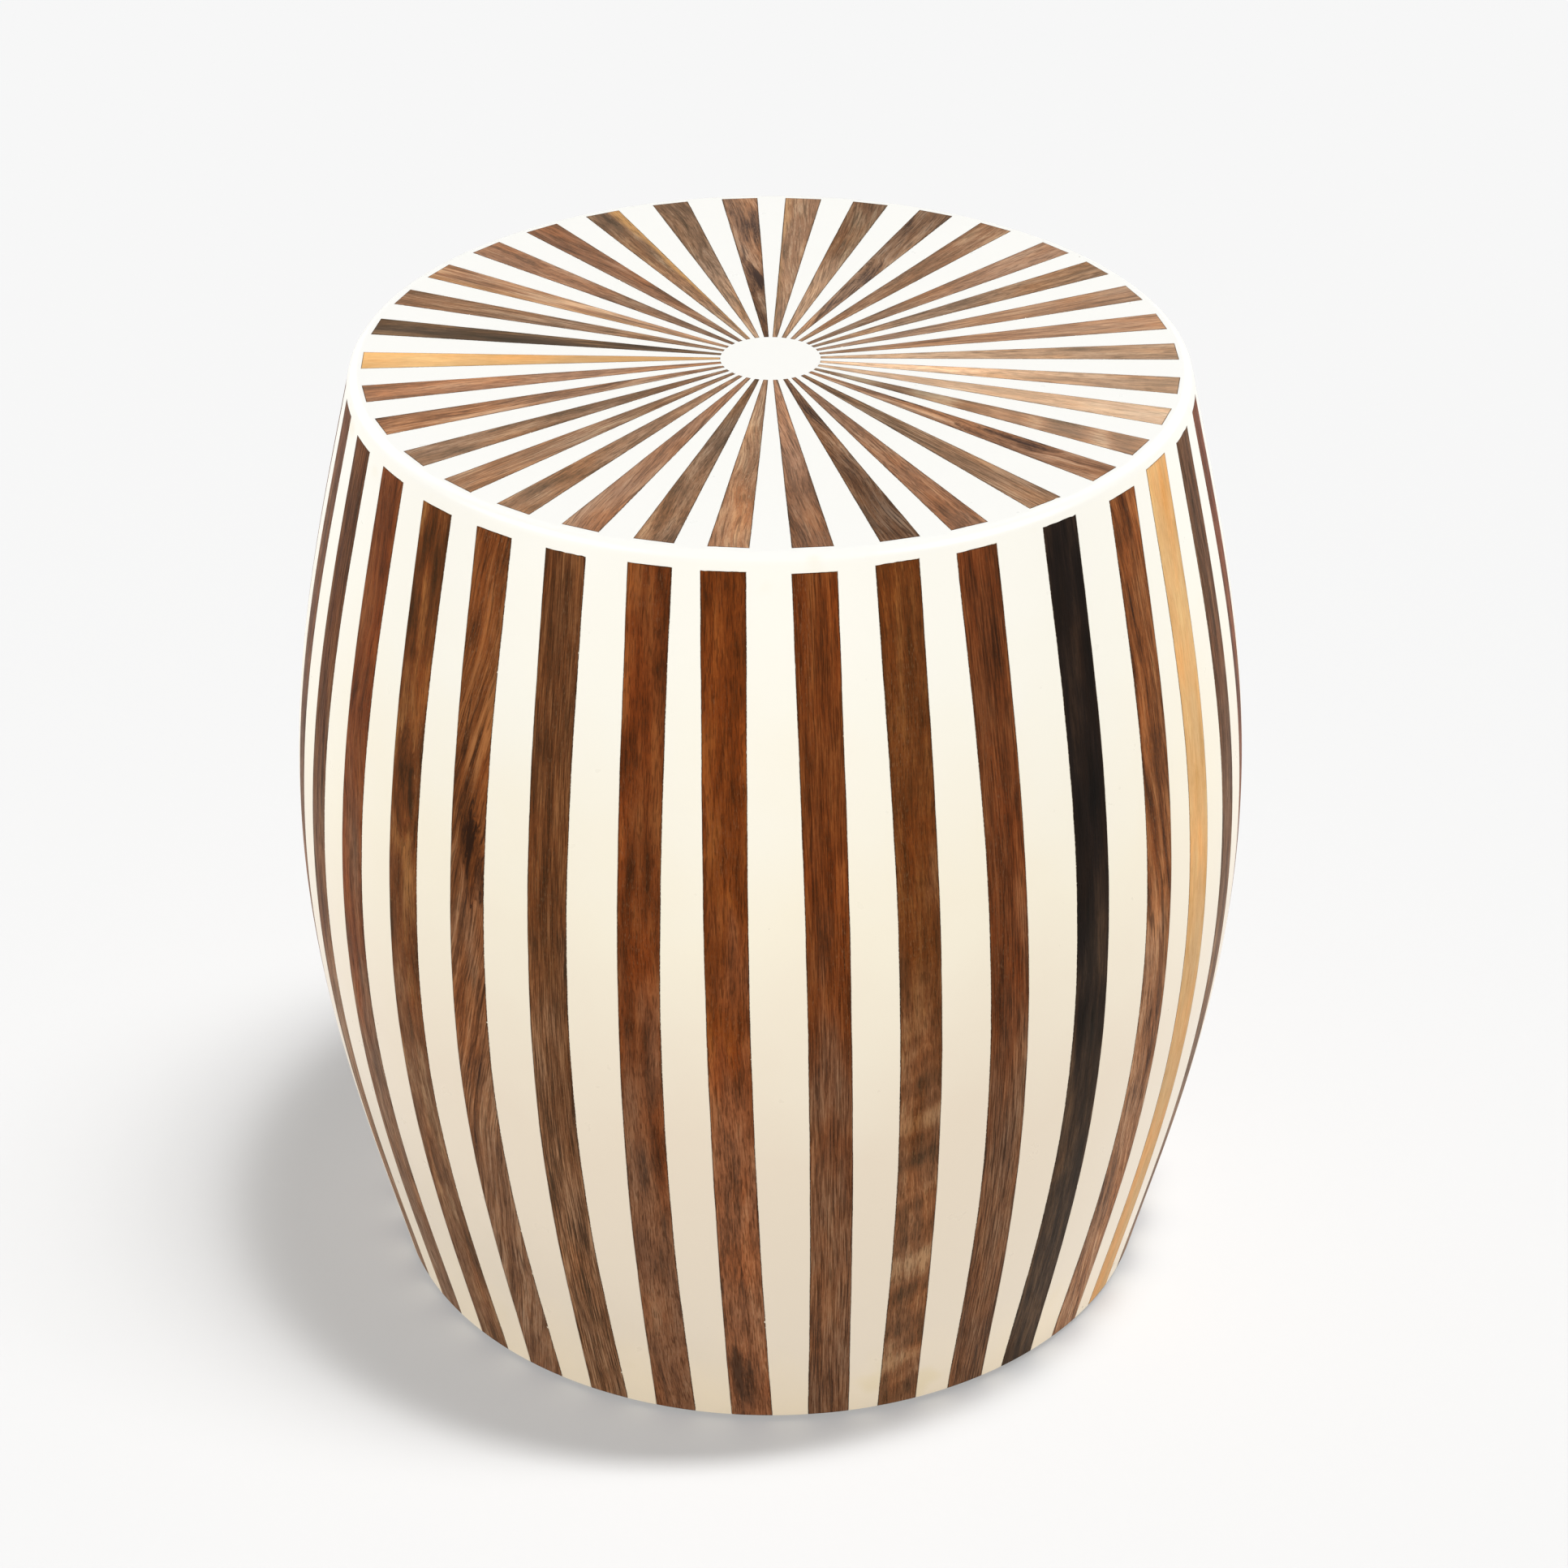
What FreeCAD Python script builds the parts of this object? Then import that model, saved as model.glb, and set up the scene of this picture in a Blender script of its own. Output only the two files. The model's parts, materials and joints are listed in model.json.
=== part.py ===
import FreeCAD
import Part
import math
import os

# Barrel side table. A hollow carcass of staves, panels and ribs is faced with hardwood strips and rays
# that are set flush in a poured ivory coat. Millimetres, +Z up. The origin is on the floor under the
# middle of the base, and the front of the table faces -Y.

# Outline of the barrel
SHELL_HEIGHT = 455.0  # base edge to table top
BASE_DIAMETER = 368.0
BELLY_DIAMETER = 444.0  # half way up
RIM_DIAMETER = 376.0  # where side and top would meet with no rounding
END_EASE = 0.27  # how far the side straightens towards its ends, 0 for a plain parabola

# Facing of wood and ivory coat
INLAY_THICKNESS = 3.5
LINE_COUNT = 34  # rays on the top, and as many strips on the side
FIRST_LINE = -179.3  # direction of the first line, degrees from +X
STRIP_WIDTH = 19.0
STRIP_HEAD_DROP = 7.5  # table top to the head of a strip
RAY_ANGLE = 5.45  # degrees between a ray's two edges
RAY_MARGIN = 5.4  # outer end of a ray to the unrounded rim
HUB_DIAMETER = 45.0

# The lines were laid by hand. Shifts are in hundredths of the even pitch: of each ray, of each strip's
# head, and of each strip's foot past its head. Head steps are in millimetres.
RAY_SHIFTS = [0, 3, 5, 9, 6, 3, 2, -1, -8, -5, 4, -3, 12, 24, 15, 13, 9,
              15, 12, 10, 5, -7, 2, -1, -2, -4, -12, -11, -8, -9, -8, -6, -9, -8]
HEAD_SHIFTS = [0, -3, -6, -8, -8, -10, -7, 0, -12, -5, -6, -4, 18, 33, 19, 14, 9,
               13, 10, 8, 4, -5, 0, 3, -4, 2, -8, -6, -10, -5, -9, -3, -6, -4]
FOOT_DRIFTS = [5, 10, 10, 14, 20, 21, 21, 12, 30, 28, 26, 29, -3, -19, -14, -10, 0,
               5, 10, 0, -8, -12, 0, 6, 12, 4, -6, -10, 0, 8, 14, 10, 4, 0]
HEAD_STEPS = [0.5, -0.5, 1.0, 0.5, 2.0, 1.5, 1.0, 0.0, 0.0, 0.5, -1.0, -0.5, -1.0, 0.5, -2.0, 0.0, 0.5]

# Wood of each ray, in the order of the lines
RAY_WOODS = ["maple", "sheesham", "rosewood", "walnut", "teak", "walnut", "sheesham", "walnut", "teak",
             "sheesham", "rosewood", "sheesham", "walnut", "rosewood", "teak", "teak", "walnut",
             "walnut", "sheesham", "sheesham", "walnut", "sheesham", "teak", "rosewood", "teak", "teak",
             "rosewood", "walnut", "teak", "sheesham", "sheesham", "teak", "walnut", "ebony"]

# Carcass
STAVE_COUNT = 16
STAVE_THICKNESS = 15.0
PANEL_CAP = 10.0  # part of the top panel and base ring that covers the stave ends
PANEL_PLUG = 12.0  # part that fits inside the staves
RIB_THICKNESS = 18.0
RIB_WIDTH = 45.0
RIB_SPACING = 150.0  # between the middles of the two ribs
SEAT_CLEARANCE = 0.1  # glue line between the staves and the curved faces that seat on them

# Base
BASE_OPENING_DIAMETER = 220.0
SHEET_THICKNESS = 3.0
SHEET_LAP = 30.0  # how far the sheet reaches over the base ring
SHEET_CLEARANCE = 0.3
GLIDE_COUNT = 4
GLIDE_DIAMETER = 22.0
GLIDE_HEIGHT = 2.5
GLIDE_INSET = 22.0  # edge of the base ring to the middle of a glide

# Fasteners
SCREW_DIAMETER = 4.0
SCREW_HEAD_DIAMETER = 8.0
SCREW_LENGTH = 35.0
SCREW_SINK = 2.0  # face of the stave to the top of the head
SCREW_CLEARANCE = 0.25
PIN_COUNT = 12
PIN_DIAMETER = 1.6
PIN_LENGTH = 12.0
NAIL_DIAMETER = 2.0
NAIL_LENGTH = 15.0
NAIL_HEAD_DIAMETER = 6.0
NAIL_HEAD_DEPTH = 1.0

# Values that follow
BASE_Z = GLIDE_HEIGHT
TOP_Z = BASE_Z + SHELL_HEIGHT
SEAM_Z = TOP_Z - INLAY_THICKNESS  # underside of the top coat, where the rounded rim starts
CAP_Z = SEAM_Z - PANEL_CAP  # upper ends of the staves
SHOULDER_Z = BASE_Z + PANEL_CAP  # lower ends of the staves
STAVE_INSET = INLAY_THICKNESS + STAVE_THICKNESS
RIB_MIDDLES = [(BASE_Z + TOP_Z - RIB_SPACING) / 2, (BASE_Z + TOP_Z + RIB_SPACING) / 2]
SCREW_LEVELS = [SHOULDER_Z + PANEL_PLUG / 2, *RIB_MIDDLES, CAP_Z - PANEL_PLUG / 2]
PITCH = 360.0 / LINE_COUNT
STAVE_ANGLE = 360.0 / STAVE_COUNT
PIECE_REACH = BELLY_DIAMETER + SHELL_HEIGHT  # longer than anything in the table, for cutting tools

AXIS_POINT = FreeCAD.Vector(0, 0, 0)
AXIS = FreeCAD.Vector(0, 0, 1)
RADIAL = FreeCAD.Vector(1, 0, 0)


def radius_at(z):
    """Outer radius of the barrel at a height."""
    s = (2 * z - BASE_Z - TOP_Z) / SHELL_HEIGHT
    chord = (BASE_DIAMETER + (RIM_DIAMETER - BASE_DIAMETER) * (s + 1) / 2) / 2
    swell = BELLY_DIAMETER / 2 - (BASE_DIAMETER + RIM_DIAMETER) / 4
    return chord + swell * (1 - (1 + END_EASE) * s**2 + END_EASE * s**4)


def slope_at(z):
    """Change of the outer radius for each millimetre of height."""
    s = (2 * z - BASE_Z - TOP_Z) / SHELL_HEIGHT
    swell = BELLY_DIAMETER / 2 - (BASE_DIAMETER + RIM_DIAMETER) / 4
    bend = swell * (4 * END_EASE * s**3 - 2 * (1 + END_EASE) * s)
    return ((RIM_DIAMETER - BASE_DIAMETER) / 4 + bend) * 2 / SHELL_HEIGHT


def side_line(low, high, inset):
    """The barrel's side between two heights, moved inwards. Its formula is of the fourth degree."""
    points = []
    for step in range(5):
        z = low + (high - low) * step / 4
        points.append([FreeCAD.Vector(radius_at(z) - inset, 0, z)])
    curve = Part.BezierCurve()
    curve.interpolate(points)
    return curve.toShape()


def line(start, end):
    """Straight edge between two points."""
    return Part.makeLine(FreeCAD.Vector(*start), FreeCAD.Vector(*end))


def spin(edges, angle=360.0):
    """Solid made by turning a closed outline in the XZ plane about the Z axis."""
    face = Part.Face(Part.Wire(Part.__sortEdges__(edges)))
    return face.revolve(AXIS_POINT, AXIS, angle)


def wall(low, high, outer_inset, inner_inset, angle=360.0):
    """Ring, or part of one, that follows the barrel's side."""
    inner_low = (radius_at(low) - inner_inset, 0, low)
    inner_high = (radius_at(high) - inner_inset, 0, high)
    outer_low = (radius_at(low) - outer_inset, 0, low)
    outer_high = (radius_at(high) - outer_inset, 0, high)
    return spin([side_line(low, high, outer_inset), line(outer_high, inner_high),
                 side_line(low, high, inner_inset), line(inner_low, outer_low)], angle)


def board(low, high, inset, bore_radius=0.0):
    """Disc, or ring with a straight bore, whose edge follows the barrel's side."""
    edges = [side_line(low, high, inset),
             line((radius_at(high) - inset, 0, high), (bore_radius, 0, high)),
             line((bore_radius, 0, high), (bore_radius, 0, low)),
             line((bore_radius, 0, low), (radius_at(low) - inset, 0, low))]
    return spin(edges)


def turned(shape, degrees):
    """Copy of a shape, turned about the Z axis."""
    copy = shape.copy()
    copy.rotate(AXIS_POINT, AXIS, degrees)
    return copy


def ring_of(shape, count, first=0.0):
    """Copies of a shape, evenly turned about the Z axis."""
    return [turned(shape, first + 360.0 * i / count) for i in range(count)]


def line_angle(index, shifts):
    """Direction of a line in degrees, with its hand-laid shift."""
    return FIRST_LINE + PITCH * (index + shifts[index % len(shifts)] / 100.0)


def strip_slab(index):
    """Straight slab that bounds one side strip: its two edges and its head."""
    head_z = TOP_Z - STRIP_HEAD_DROP - HEAD_STEPS[index % len(HEAD_STEPS)]
    drift = PITCH * FOOT_DRIFTS[index % len(FOOT_DRIFTS)] / 100.0
    foot_shift = BASE_DIAMETER / 2 * math.radians(drift)
    near = min(BASE_DIAMETER, RIM_DIAMETER) / 2 - STAVE_INSET
    corner = FreeCAD.Vector(near, -STRIP_WIDTH / 2, -PIECE_REACH)
    slab = Part.makeBox(BELLY_DIAMETER / 2, STRIP_WIDTH, PIECE_REACH, corner)
    slab.rotate(AXIS_POINT, RADIAL, math.degrees(math.atan2(foot_shift, head_z - BASE_Z)))
    slab.translate(FreeCAD.Vector(0, 0, head_z))
    return turned(slab, line_angle(index, HEAD_SHIFTS))


def top_ray(index):
    """One tapered ray of the top, with straight ends."""
    inner = HUB_DIAMETER / 2
    outer = RIM_DIAMETER / 2 - RAY_MARGIN
    half = math.tan(math.radians(RAY_ANGLE / 2))
    corners = [(inner, -inner * half), (outer, -outer * half), (outer, outer * half), (inner, inner * half)]
    points = [FreeCAD.Vector(x, y, SEAM_Z) for x, y in corners]
    face = Part.Face(Part.makePolygon(points + points[:1]))
    ray = face.extrude(FreeCAD.Vector(0, 0, INLAY_THICKNESS))
    return turned(ray, line_angle(index, RAY_SHIFTS))


def top_coat(rays):
    """Ivory coat of the top: rounded rim, spokes between the rays, and hub."""
    edge_radius = radius_at(SEAM_Z)
    lean = -math.atan(slope_at(SEAM_Z))
    round_radius = INLAY_THICKNESS / (1 - math.sin(lean))
    centre_x = edge_radius - round_radius * math.cos(lean)
    centre_z = TOP_Z - round_radius
    middle = (lean + math.pi / 2) / 2
    middle_x = centre_x + round_radius * math.cos(middle)
    middle_z = centre_z + round_radius * math.sin(middle)
    rim = Part.Arc(FreeCAD.Vector(edge_radius, 0, SEAM_Z), FreeCAD.Vector(middle_x, 0, middle_z),
                   FreeCAD.Vector(centre_x, 0, TOP_Z)).toShape()
    plate = spin([rim, line((centre_x, 0, TOP_Z), (0, 0, TOP_Z)), line((0, 0, TOP_Z), (0, 0, SEAM_Z)),
                  line((0, 0, SEAM_Z), (edge_radius, 0, SEAM_Z))])
    return plate.cut(rays)


def stave_screw(z):
    """Countersunk screw along +X whose head lies below the stave's face."""
    head_x = radius_at(z) - INLAY_THICKNESS - SCREW_SINK
    head = SCREW_HEAD_DIAMETER / 2
    shank = SCREW_DIAMETER / 2
    cone = head - shank
    tip_x = head_x - SCREW_LENGTH
    outline = [(head_x, 0, z), (head_x, 0, z + head), (head_x - cone, 0, z + shank),
               (tip_x + SCREW_DIAMETER, 0, z + shank), (tip_x, 0, z), (head_x, 0, z)]
    face = Part.Face(Part.makePolygon([FreeCAD.Vector(*point) for point in outline]))
    return face.revolve(FreeCAD.Vector(0, 0, z), RADIAL, 360.0)


def stave_hole(z):
    """Countersunk clearance hole for a stave screw, open to the stave's two faces."""
    head_x = radius_at(z) - INLAY_THICKNESS - SCREW_SINK
    head = SCREW_HEAD_DIAMETER / 2
    shank = SCREW_DIAMETER / 2 + SCREW_CLEARANCE
    cone = head - shank
    far_x = head_x + PIECE_REACH
    outline = [(0, 0, z), (0, 0, z + shank), (head_x - cone, 0, z + shank), (head_x, 0, z + head),
               (far_x, 0, z + head), (far_x, 0, z), (0, 0, z)]
    face = Part.Face(Part.makePolygon([FreeCAD.Vector(*point) for point in outline]))
    return face.revolve(FreeCAD.Vector(0, 0, z), RADIAL, 360.0)


def carcass_stave():
    """One stave, centred on +X, with its screw holes."""
    stave = wall(SHOULDER_Z, CAP_Z, INLAY_THICKNESS, STAVE_INSET, STAVE_ANGLE)
    stave = turned(stave, -STAVE_ANGLE / 2)
    return stave.cut([stave_hole(z) for z in SCREW_LEVELS])


def rebated_board(cap_low, cap_high, plug_low, plug_high, bore_radius=0.0):
    """Board with a full-width cap over the stave ends and a plug that fits inside them."""
    cap = board(cap_low, cap_high, INLAY_THICKNESS, bore_radius)
    plug = board(plug_low, plug_high, STAVE_INSET + SEAT_CLEARANCE, bore_radius)
    return cap.fuse(plug).removeSplitter()


def rib(middle):
    """Hoop of board inside the staves."""
    low = middle - RIB_THICKNESS / 2
    high = middle + RIB_THICKNESS / 2
    inset = STAVE_INSET + SEAT_CLEARANCE
    return board(low, high, inset, radius_at(middle) - inset - RIB_WIDTH)


def disc(radius, height, z):
    """Upright cylinder about the Z axis."""
    return Part.makeCylinder(radius, height, FreeCAD.Vector(0, 0, z), AXIS)


def around_base(shape, distance, count):
    """Copies of an upright piece on a circle about the middle, starting half a step from +X."""
    shifted = shape.copy()
    shifted.translate(FreeCAD.Vector(distance, 0, 0))
    return ring_of(shifted, count, 180.0 / count)


def glide_nail():
    """Nail whose flat head is moulded into the top of a glide."""
    head = disc(NAIL_HEAD_DIAMETER / 2, NAIL_HEAD_DEPTH, BASE_Z - NAIL_HEAD_DEPTH)
    shank = disc(NAIL_DIAMETER / 2, NAIL_LENGTH, BASE_Z)
    return head.fuse(shank).removeSplitter()


def glide_button():
    """Low round button with a pocket for its nail head."""
    button = disc(GLIDE_DIAMETER / 2, GLIDE_HEIGHT, 0)
    return button.cut(disc(NAIL_HEAD_DIAMETER / 2, NAIL_HEAD_DEPTH, BASE_Z - NAIL_HEAD_DEPTH))


def save(name, solids):
    """Write one named piece, or one group of like pieces."""
    shape = solids[0] if len(solids) == 1 else Part.makeCompound(solids)
    for solid in shape.Solids:
        if not solid.isValid() or not solid.isClosed():
            raise ValueError(name + " is not a sound solid")
    shape.exportStep("parts/" + name + ".step")
    print(name, len(shape.Solids), round(shape.Volume))


def save_carcass():
    """Staves, panels, ribs and their screws."""
    save("staves", ring_of(carcass_stave(), STAVE_COUNT))
    screws = []
    for level in SCREW_LEVELS:
        screws.extend(ring_of(stave_screw(level), STAVE_COUNT))
    save("stave_screws", screws)
    top_panel = rebated_board(CAP_Z, SEAM_Z, CAP_Z - PANEL_PLUG, CAP_Z)
    save("top_panel", [top_panel.cut(screws)])
    for name, middle in zip(["lower_rib", "upper_rib"], RIB_MIDDLES):
        save(name, [rib(middle).cut(screws)])
    return screws


def save_base(screws):
    """Base ring, the sheet that closes it, its pins, and the floor glides."""
    opening = BASE_OPENING_DIAMETER / 2
    sheet_radius = opening + SHEET_LAP
    pins = around_base(disc(PIN_DIAMETER / 2, PIN_LENGTH, BASE_Z), opening + SHEET_LAP / 2, PIN_COUNT)
    glide_circle = BASE_DIAMETER / 2 - INLAY_THICKNESS - GLIDE_INSET
    nails = around_base(glide_nail(), glide_circle, GLIDE_COUNT)
    ring = rebated_board(BASE_Z, SHOULDER_Z, SHOULDER_Z, SHOULDER_Z + PANEL_PLUG, opening)
    recess = disc(sheet_radius + SHEET_CLEARANCE, SHEET_THICKNESS, BASE_Z)
    save("base_ring", [ring.cut([recess] + screws + pins + nails)])
    save("base_sheet", [disc(sheet_radius, SHEET_THICKNESS, BASE_Z).cut(pins)])
    save("sheet_pins", pins)
    save("floor_glides", around_base(glide_button(), glide_circle, GLIDE_COUNT))
    save("glide_nails", nails)


def save_facing():
    """Side strips, top rays and the ivory coat between them."""
    slabs = [strip_slab(index) for index in range(LINE_COUNT)]
    side = wall(BASE_Z, SEAM_Z, 0.0, INLAY_THICKNESS - SEAT_CLEARANCE)
    for index, slab in enumerate(slabs):
        save("side_strip_%02d" % (index + 1), [side.common(slab)])
    save("side_coat", [side.cut(slabs)])
    rays = [top_ray(index) for index in range(LINE_COUNT)]
    woods = [RAY_WOODS[index % len(RAY_WOODS)] for index in range(LINE_COUNT)]
    for wood in sorted(set(woods)):
        save("top_rays_" + wood, [ray for ray, own in zip(rays, woods) if own == wood])
    save("top_coat", [top_coat(rays)])


os.makedirs("parts", exist_ok=True)
stave_screws = save_carcass()
save_base(stave_screws)
save_facing()
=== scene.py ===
"""Barrel side table: ivory coat inlaid with wood strips and rays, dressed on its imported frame."""

import json
import logging
import math
from dataclasses import dataclass
from enum import Enum
from typing import Callable

import bpy
import numpy as np
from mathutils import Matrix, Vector

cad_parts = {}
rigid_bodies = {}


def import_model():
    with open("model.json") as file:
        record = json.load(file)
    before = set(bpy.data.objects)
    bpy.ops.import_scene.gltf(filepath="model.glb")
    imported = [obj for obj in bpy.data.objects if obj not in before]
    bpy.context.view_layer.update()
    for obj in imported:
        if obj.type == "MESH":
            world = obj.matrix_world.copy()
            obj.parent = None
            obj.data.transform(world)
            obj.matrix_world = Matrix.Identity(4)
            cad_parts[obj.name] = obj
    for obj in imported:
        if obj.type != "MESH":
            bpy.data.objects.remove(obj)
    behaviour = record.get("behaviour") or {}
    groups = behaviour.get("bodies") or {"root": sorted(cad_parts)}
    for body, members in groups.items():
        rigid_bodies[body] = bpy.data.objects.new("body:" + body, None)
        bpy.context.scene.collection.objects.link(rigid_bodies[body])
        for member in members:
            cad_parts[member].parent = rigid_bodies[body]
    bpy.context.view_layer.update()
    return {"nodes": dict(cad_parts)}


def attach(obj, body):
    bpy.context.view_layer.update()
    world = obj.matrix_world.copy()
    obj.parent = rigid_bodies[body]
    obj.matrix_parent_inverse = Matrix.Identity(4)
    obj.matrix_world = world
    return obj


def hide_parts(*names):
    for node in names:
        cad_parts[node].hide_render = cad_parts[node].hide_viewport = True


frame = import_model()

LOG = logging.getLogger("barrel_table")
Colour = tuple[float, float, float]
Spot = Callable[[int, np.ndarray], tuple[np.ndarray, np.ndarray]]

MM = 0.001
BODY = "root"
LAY_MAP = "lay"
BEVEL_FROM = math.radians(50)
SMOOTH_BELOW = math.radians(32)
STRIP_MERGE = 1e-7
COAT_MERGE = 1e-6
LAMP_DISTANCE = 3.0

# How far each line was set off its even pitch, in hundredths of it.
RAY_SHIFTS = (
    0, 3, 5, 9, 6, 3, 2, -1, -8, -5, 4, -3, 12, 24, 15, 13, 9,
    15, 12, 10, 5, -7, 2, -1, -2, -4, -12, -11, -8, -9, -8, -6, -9, -8,
)
HEAD_SHIFTS = (
    0, -3, -6, -8, -8, -10, -7, 0, -12, -5, -6, -4, 18, 33, 19, 14, 9,
    13, 10, 8, 4, -5, 0, 3, -4, 2, -8, -6, -10, -5, -9, -3, -6, -4,
)
FOOT_DRIFTS = (
    5, 10, 10, 14, 20, 21, 21, 12, 30, 28, 26, 29, -3, -19, -14, -10, 0,
    5, 10, 0, -8, -12, 0, 6, 12, 4, -6, -10, 0, 8, 14, 10, 4, 0,
)
# How far each strip's head lies below the even line, in millimetres.
HEAD_STEPS = (
    0.5, -0.5, 1.0, 0.5, 2.0, 1.5, 1.0, 0.0, 0.0, 0.5, -1.0, -0.5, -1.0, 0.5, -2.0, 0.0, 0.5,
)
# Length and weight of the waves of a hand-cut edge.
EDGE_WAVES = ((190 * MM, 1.0), (74 * MM, 0.7), (27 * MM, 0.45), (15 * MM, 0.3))
# Size of the chips in a sawn head, in millimetres, and how often each comes up.
CHIP_SIZES = (0.1, 0.18, 0.45)
CHIP_ODDS = (0.45, 0.35, 0.2)
CHIP_NOTCHES = 12
# What sets the draws of the chips and the rays apart from those of the strips.
CHIP_DRAWS = 900
RAY_DRAWS = 50


def srgb(red: int, green: int, blue: int) -> Colour:
    """A colour written as it looks on screen, 0 to 255, as the linear colour a shader takes.

    Args:
        red: Red level.
        green: Green level.
        blue: Blue level.

    Returns:
        The linear colour.
    """
    levels = (value / 255 for value in (red, green, blue))
    return tuple(v / 12.92 if v <= 0.04045 else ((v + 0.055) / 1.055) ** 2.4 for v in levels)


def steps(count: int) -> np.ndarray:
    """Even steps from just above 0 to 1."""
    return np.linspace(0, 1, count + 1)[1:]


def around(turn: np.ndarray, radius: np.ndarray | float, height: np.ndarray | float) -> np.ndarray:
    """Points round the table's axis.

    Args:
        turn: Their angles in radians.
        radius: Their distances from the axis.
        height: Their heights.

    Returns:
        The points, one row each.
    """
    spots = np.broadcast_arrays(radius * np.cos(turn), radius * np.sin(turn), height)
    return np.stack(spots, axis=1)


def seat(piece: bpy.types.Object, slot: str, *nodes: str) -> None:
    """Put a piece on the table in place of its solids.

    Args:
        piece: The piece.
        slot: Not used.
        nodes: The solids it stands for.
    """
    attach(piece, BODY)
    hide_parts(*nodes)


class Signal:
    """A value socket that Python's operators turn into Math nodes."""

    def __init__(self, tree: bpy.types.NodeTree, socket: bpy.types.NodeSocket) -> None:
        """Keep the socket and the tree it belongs to."""
        self.tree = tree
        self.socket = socket

    def math(self, operation: str, *values: "Signal | float") -> "Signal":
        """Add one Math node.

        Args:
            operation: The Math node's operation.
            values: Its inputs in order, signals or numbers.

        Returns:
            The node's result.
        """
        node = self.tree.nodes.new("ShaderNodeMath")
        node.operation = operation
        for socket, value in zip(node.inputs, values):
            if isinstance(value, Signal):
                self.tree.links.new(value.socket, socket)
            else:
                socket.default_value = value
        return Signal(self.tree, node.outputs[0])

    def __add__(self, other: "Signal | float") -> "Signal":
        """Self plus other."""
        return self.math("ADD", self, other)

    def __radd__(self, other: float) -> "Signal":
        """Other plus self."""
        return self.math("ADD", other, self)

    def __sub__(self, other: "Signal | float") -> "Signal":
        """Self minus other."""
        return self.math("SUBTRACT", self, other)

    def __rsub__(self, other: float) -> "Signal":
        """Other minus self."""
        return self.math("SUBTRACT", other, self)

    def __mul__(self, other: "Signal | float") -> "Signal":
        """Self times other."""
        return self.math("MULTIPLY", self, other)

    def __rmul__(self, other: float) -> "Signal":
        """Other times self."""
        return self.math("MULTIPLY", other, self)

    def __abs__(self) -> "Signal":
        """Size without sign."""
        return self.math("ABSOLUTE", self)

    def least(self, other: "Signal | float") -> "Signal":
        """The smaller of self and other."""
        return self.math("MINIMUM", self, other)

    def most(self, other: "Signal | float") -> "Signal":
        """The larger of self and other."""
        return self.math("MAXIMUM", self, other)


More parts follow.
